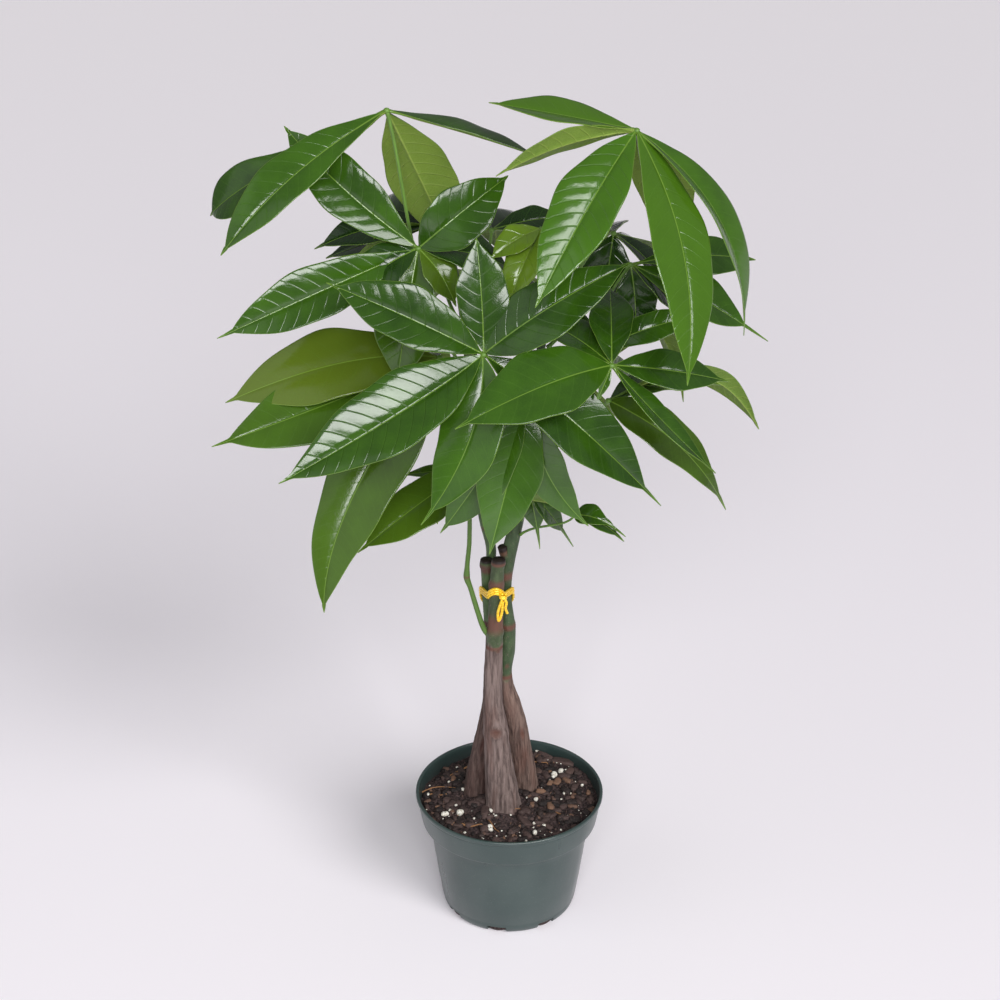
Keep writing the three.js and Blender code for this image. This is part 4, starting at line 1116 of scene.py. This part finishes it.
def add_blade(piece, hub, leaflet, rng):
    """Adds one leaflet, seeded by rng.

    The midrib is a parabola from the hub to the tip. It bulges by arch towards the upper
    side, and by sway towards one edge, most of all where bend says. The two halves fold up
    from it, and the blade swells between its lateral veins.
    """
    chord, face, spread, form, look = leaflet
    width, arch, sway = [*spread, 0][:3]
    bend, skew, tail, lean = np.array([*form, 0][:4]) / 100
    fold, relief, tint, glow = np.array([*look, 0][:4]) / 100
    chord = np.array(chord, float)
    length = np.linalg.norm(chord)
    along = chord / length
    face = np.array(face, float)
    normal = unit(face - along * along.dot(face))
    side = np.cross(along, normal)
    peak = chord * bend + normal * 2 * arch + side * 2 * sway
    root = np.array(hub, float) + along * BLADE_ROOT
    rows = LONG_ROWS if length > LONG_BLADE else SHORT_ROWS
    t = np.linspace(0, 1, rows)[:, None]
    middle = root + peak * 2 * t * (1 - t) + chord * t ** 2
    heading = peak * (2 - 4 * t) + chord * 2 * t
    heading /= np.linalg.norm(heading, axis=1)[:, None]
    across = side - heading * (heading @ side)[:, None]
    across /= np.linalg.norm(across, axis=1)[:, None]
    above = np.cross(across, heading)

    edge = np.concatenate([-np.array(ACROSS[:0:-1]), ACROSS])[None, :]
    size = np.abs(edge)
    half = half_width(t, width, skew, tail) * (1 + lean * np.sign(edge))
    body = smooth(0.04, 0.2, t) * smooth(0, 0.12, 1 - t)
    start = rng.random()
    crimp = np.sin(TURN * (t * CRIMP_WAVES + start) + 1.7 * np.sign(edge))
    reach = half * (1 + EDGE_CRIMP * crimp * body * size)
    veins = max(4, round(length / VEIN_PITCH))
    phase = veins * (t - reach * size * (0.5 + 0.3 * size) / length) + VEIN_STAGGER * (edge < 0)
    between = np.sin(math.pi * ((phase - 0.5) % 1))
    inner = smooth(0, 0.14, size) * (1 - smooth(0.87, 1, size))
    full = inner * body * np.minimum(half / QUILT_FULL_FROM, 1)
    quilt = QUILT_HEIGHT * relief * between ** QUILT_FLATNESS * full
    curl = BLADE_CURL * half * size * (1 - size) * 4 * body
    ripple = EDGE_RIPPLE * half * size ** 2 * body * np.sin(
        TURN * (t * RIPPLE_WAVES + 2 * start) + 2.2 * np.sign(edge))
    near_rib = np.exp(-(reach * size / RIB_REACH) ** 2) * body
    surface = reach * size * math.sin(fold) + curl + ripple + quilt - GUTTER * near_rib
    sideways = reach * edge * math.cos(fold)
    thick = mix(STALK_THICKNESS, BLADE_THICKNESS, np.minimum(t / STALK_END, 1)) / 2
    ridge = RIB_HEIGHT * near_rib * (1 - RIB_TAPER * t)

    def layer(height):
        return (middle[:, None] + across[:, None] * sideways[..., None]
                + above[:, None] * height[..., None])

    def both(value):
        value = np.broadcast_to(value, (rows, edge.shape[1]))
        return np.concatenate([value, value[:, ::-1]], axis=1)

    upper = layer(surface + thick)
    lower = layer(surface - thick - ridge)[:, ::-1]
    paint = np.repeat([0, 1], edge.shape[1])[None, :]
    values = {
        "phase": both(phase), "rib": both(reach * size * (1 + 1.5 * t)),
        "rim": both(reach * (1 - size)), "relief": relief, "tint": tint, "glow": glow,
    }
    piece.add_tube(np.concatenate([upper, lower], axis=1), paint, **values)


def add_petiole(piece, stem, at, hub, up, radius):
    """The leaf stalk leaves its stem at 45 degrees and comes up into the hub."""
    x, y, z, stem_radius = stem_at(stem, at)
    hub = np.array(hub, float)
    out = unit([hub[0] - x, hub[1] - y, 0])
    foot = np.array([x, y, z]) + out * (stem_radius + SEAT_GAP + radius * math.sqrt(0.5))
    span = np.linalg.norm(hub - foot)
    leave = foot + unit(out + np.array([0, 0, 1])) * PETIOLE_LEAVE_SHARE * span
    arrive = hub - unit(up) * PETIOLE_ARRIVE_SHARE * span
    t = np.linspace(0, 1, PETIOLE_STEPS)
    s = t[:, None]
    points = foot * (1 - s) ** 3 + leave * 3 * s * (1 - s) ** 2
    points = points + arrive * 3 * s * s * (1 - s) + hub * s ** 3
    foot_end, hub_end = np.exp(-t / PETIOLE_SWELLING_REACH), np.exp((t - 1) / PETIOLE_SWELLING_REACH)
    swelling = PETIOLE_SWELLING[0] * foot_end + PETIOLE_SWELLING[1] * hub_end
    radii = radius * (mix(*PETIOLE_TAPER, t) + swelling)
    piece.add_tube(tube_rings(points, radii, PETIOLE_SIDES), 2)


def fan(stem, at, hub, up, length, width, droop):
    """An even fan of leaflets round the hub, the longest pointing away from the stem."""
    axis = unit(up)
    away = np.array(hub, float) - stem_at(stem, at)[:3]
    first = unit(away - axis * axis.dot(away))
    leaflets = []
    for k in range(FAN_COUNT):
        place = k - (FAN_COUNT - 1) / 2
        angle = math.radians(place * FAN_SPREAD / FAN_COUNT)
        share = 1 - FAN_TAPER * abs(place) + FAN_UNEVENNESS * math.sin(5 * k + hub[0])
        fall = math.radians(droop + FAN_SWING * math.sin(3 * k + hub[1]))
        turned = first * math.cos(angle) + np.cross(axis, first) * math.sin(angle)
        tip = (turned * math.cos(fall) - axis * math.sin(fall)) * length * share
        tint = FAN_TINT[0] + FAN_TINT[1] * math.sin(7 * k + hub[2])
        size = (width * share, FAN_ARCH * length)
        leaflets.append((tip, up, size, PLAIN, (FAN_FOLD, FAN_RELIEF, tint)))
    return leaflets


def build_leaves():
    paints = {}
    for kind, (upper, under, stalk) in LEAF_COLOURS.items():
        paints[kind] = [
            leaf_upper(f"{kind}_upper", *upper),
            leaf_under(f"{kind}_under", *under),
            stalk_green(f"{kind}_stalk", stalk),
        ]
    leaves = dict(LEAVES)
    for name, (stem, at, hub, up, *shape) in BACK_LEAVES.items():
        leaves[name] = (stem, at, hub, up, fan(stem, at, hub, up, *shape))
    for number, (name, (stem, at, hub, up, leaflets)) in enumerate(leaves.items()):
        rng = random.Random(number + 1)
        scale = SMALL_LEAVES.get(name, 1)
        piece = Piece()
        for leaflet in leaflets:
            add_blade(piece, hub, leaflet, rng)
        add_petiole(piece, stem, at, hub, up, PETIOLE_RADIUS * scale)
        piece.add_tube(ball(HUB_RADIUS * scale, 9, 14) * np.array([1, 1, 0.8]) + np.array(hub), 2)
        kind = "young_leaf" if name == "young" else "leaf"
        piece.build(f"leaf_{name}_foliage", paints[kind], f"leaf_{name}")


# Stage

def build_floor():
    piece = Piece()
    piece.add(np.array([(a, b, 0) for a, b in SQUARE]) * FLOOR_REACH, [(0, 1, 2, 3)])
    piece.build("floor", [floor_paper()])


def add_lamp(kind, name, towards, power, colour):
    """A lamp at the origin that shines from the direction of towards."""
    light = bpy.data.lights.new(name, kind)
    light.energy = power
    light.color = colour
    lamp = bpy.data.objects.new(name, light)
    lamp.rotation_euler = Vector(towards).to_track_quat("Z", "Y").to_euler()
    bpy.context.scene.collection.objects.link(lamp)
    return lamp


def light_stage():
    """A broad key from the front right, a soft fill from the left and a strip in front."""
    for name, (towards, strength, angle, colour) in SUNS.items():
        sun = add_lamp("SUN", name, towards, strength, colour)
        sun.data.angle = math.radians(angle)
    away = Vector(STRIP_PLACE) - Vector(STRIP_TARGET)
    strip = add_lamp("AREA", "front_strip", away, STRIP_POWER, (1, 1, 1))
    strip.location = STRIP_PLACE
    strip.data.shape = "RECTANGLE"
    strip.data.size, strip.data.size_y = STRIP_SIZE
    world = bpy.data.worlds.new("studio")
    world.use_nodes = True
    background = world.node_tree.nodes["Background"]
    background.inputs["Color"].default_value = STUDIO_COLOUR
    background.inputs["Strength"].default_value = STUDIO_STRENGTH
    bpy.context.scene.world = world
    bpy.context.scene.view_settings.view_transform = "Standard"


def add_camera():
    camera = bpy.data.cameras.new("camera")
    camera.sensor_width = CAMERA_SENSOR
    camera.lens = CAMERA_LENS
    camera.clip_end = CAMERA_REACH
    eye = bpy.data.objects.new("camera", camera)
    eye.location = CAMERA_PLACE
    eye.rotation_euler = (math.pi / 2 - CAMERA_FALL, 0, 0)
    bpy.context.scene.collection.objects.link(eye)
    bpy.context.scene.camera = eye


add_camera()
light_stage()
build_floor()
build_pot()
build_soil()
build_chips()
build_perlite()
build_fibres()
build_trunks()
build_tie()
build_leaves()

bpy.context.view_layer.update()
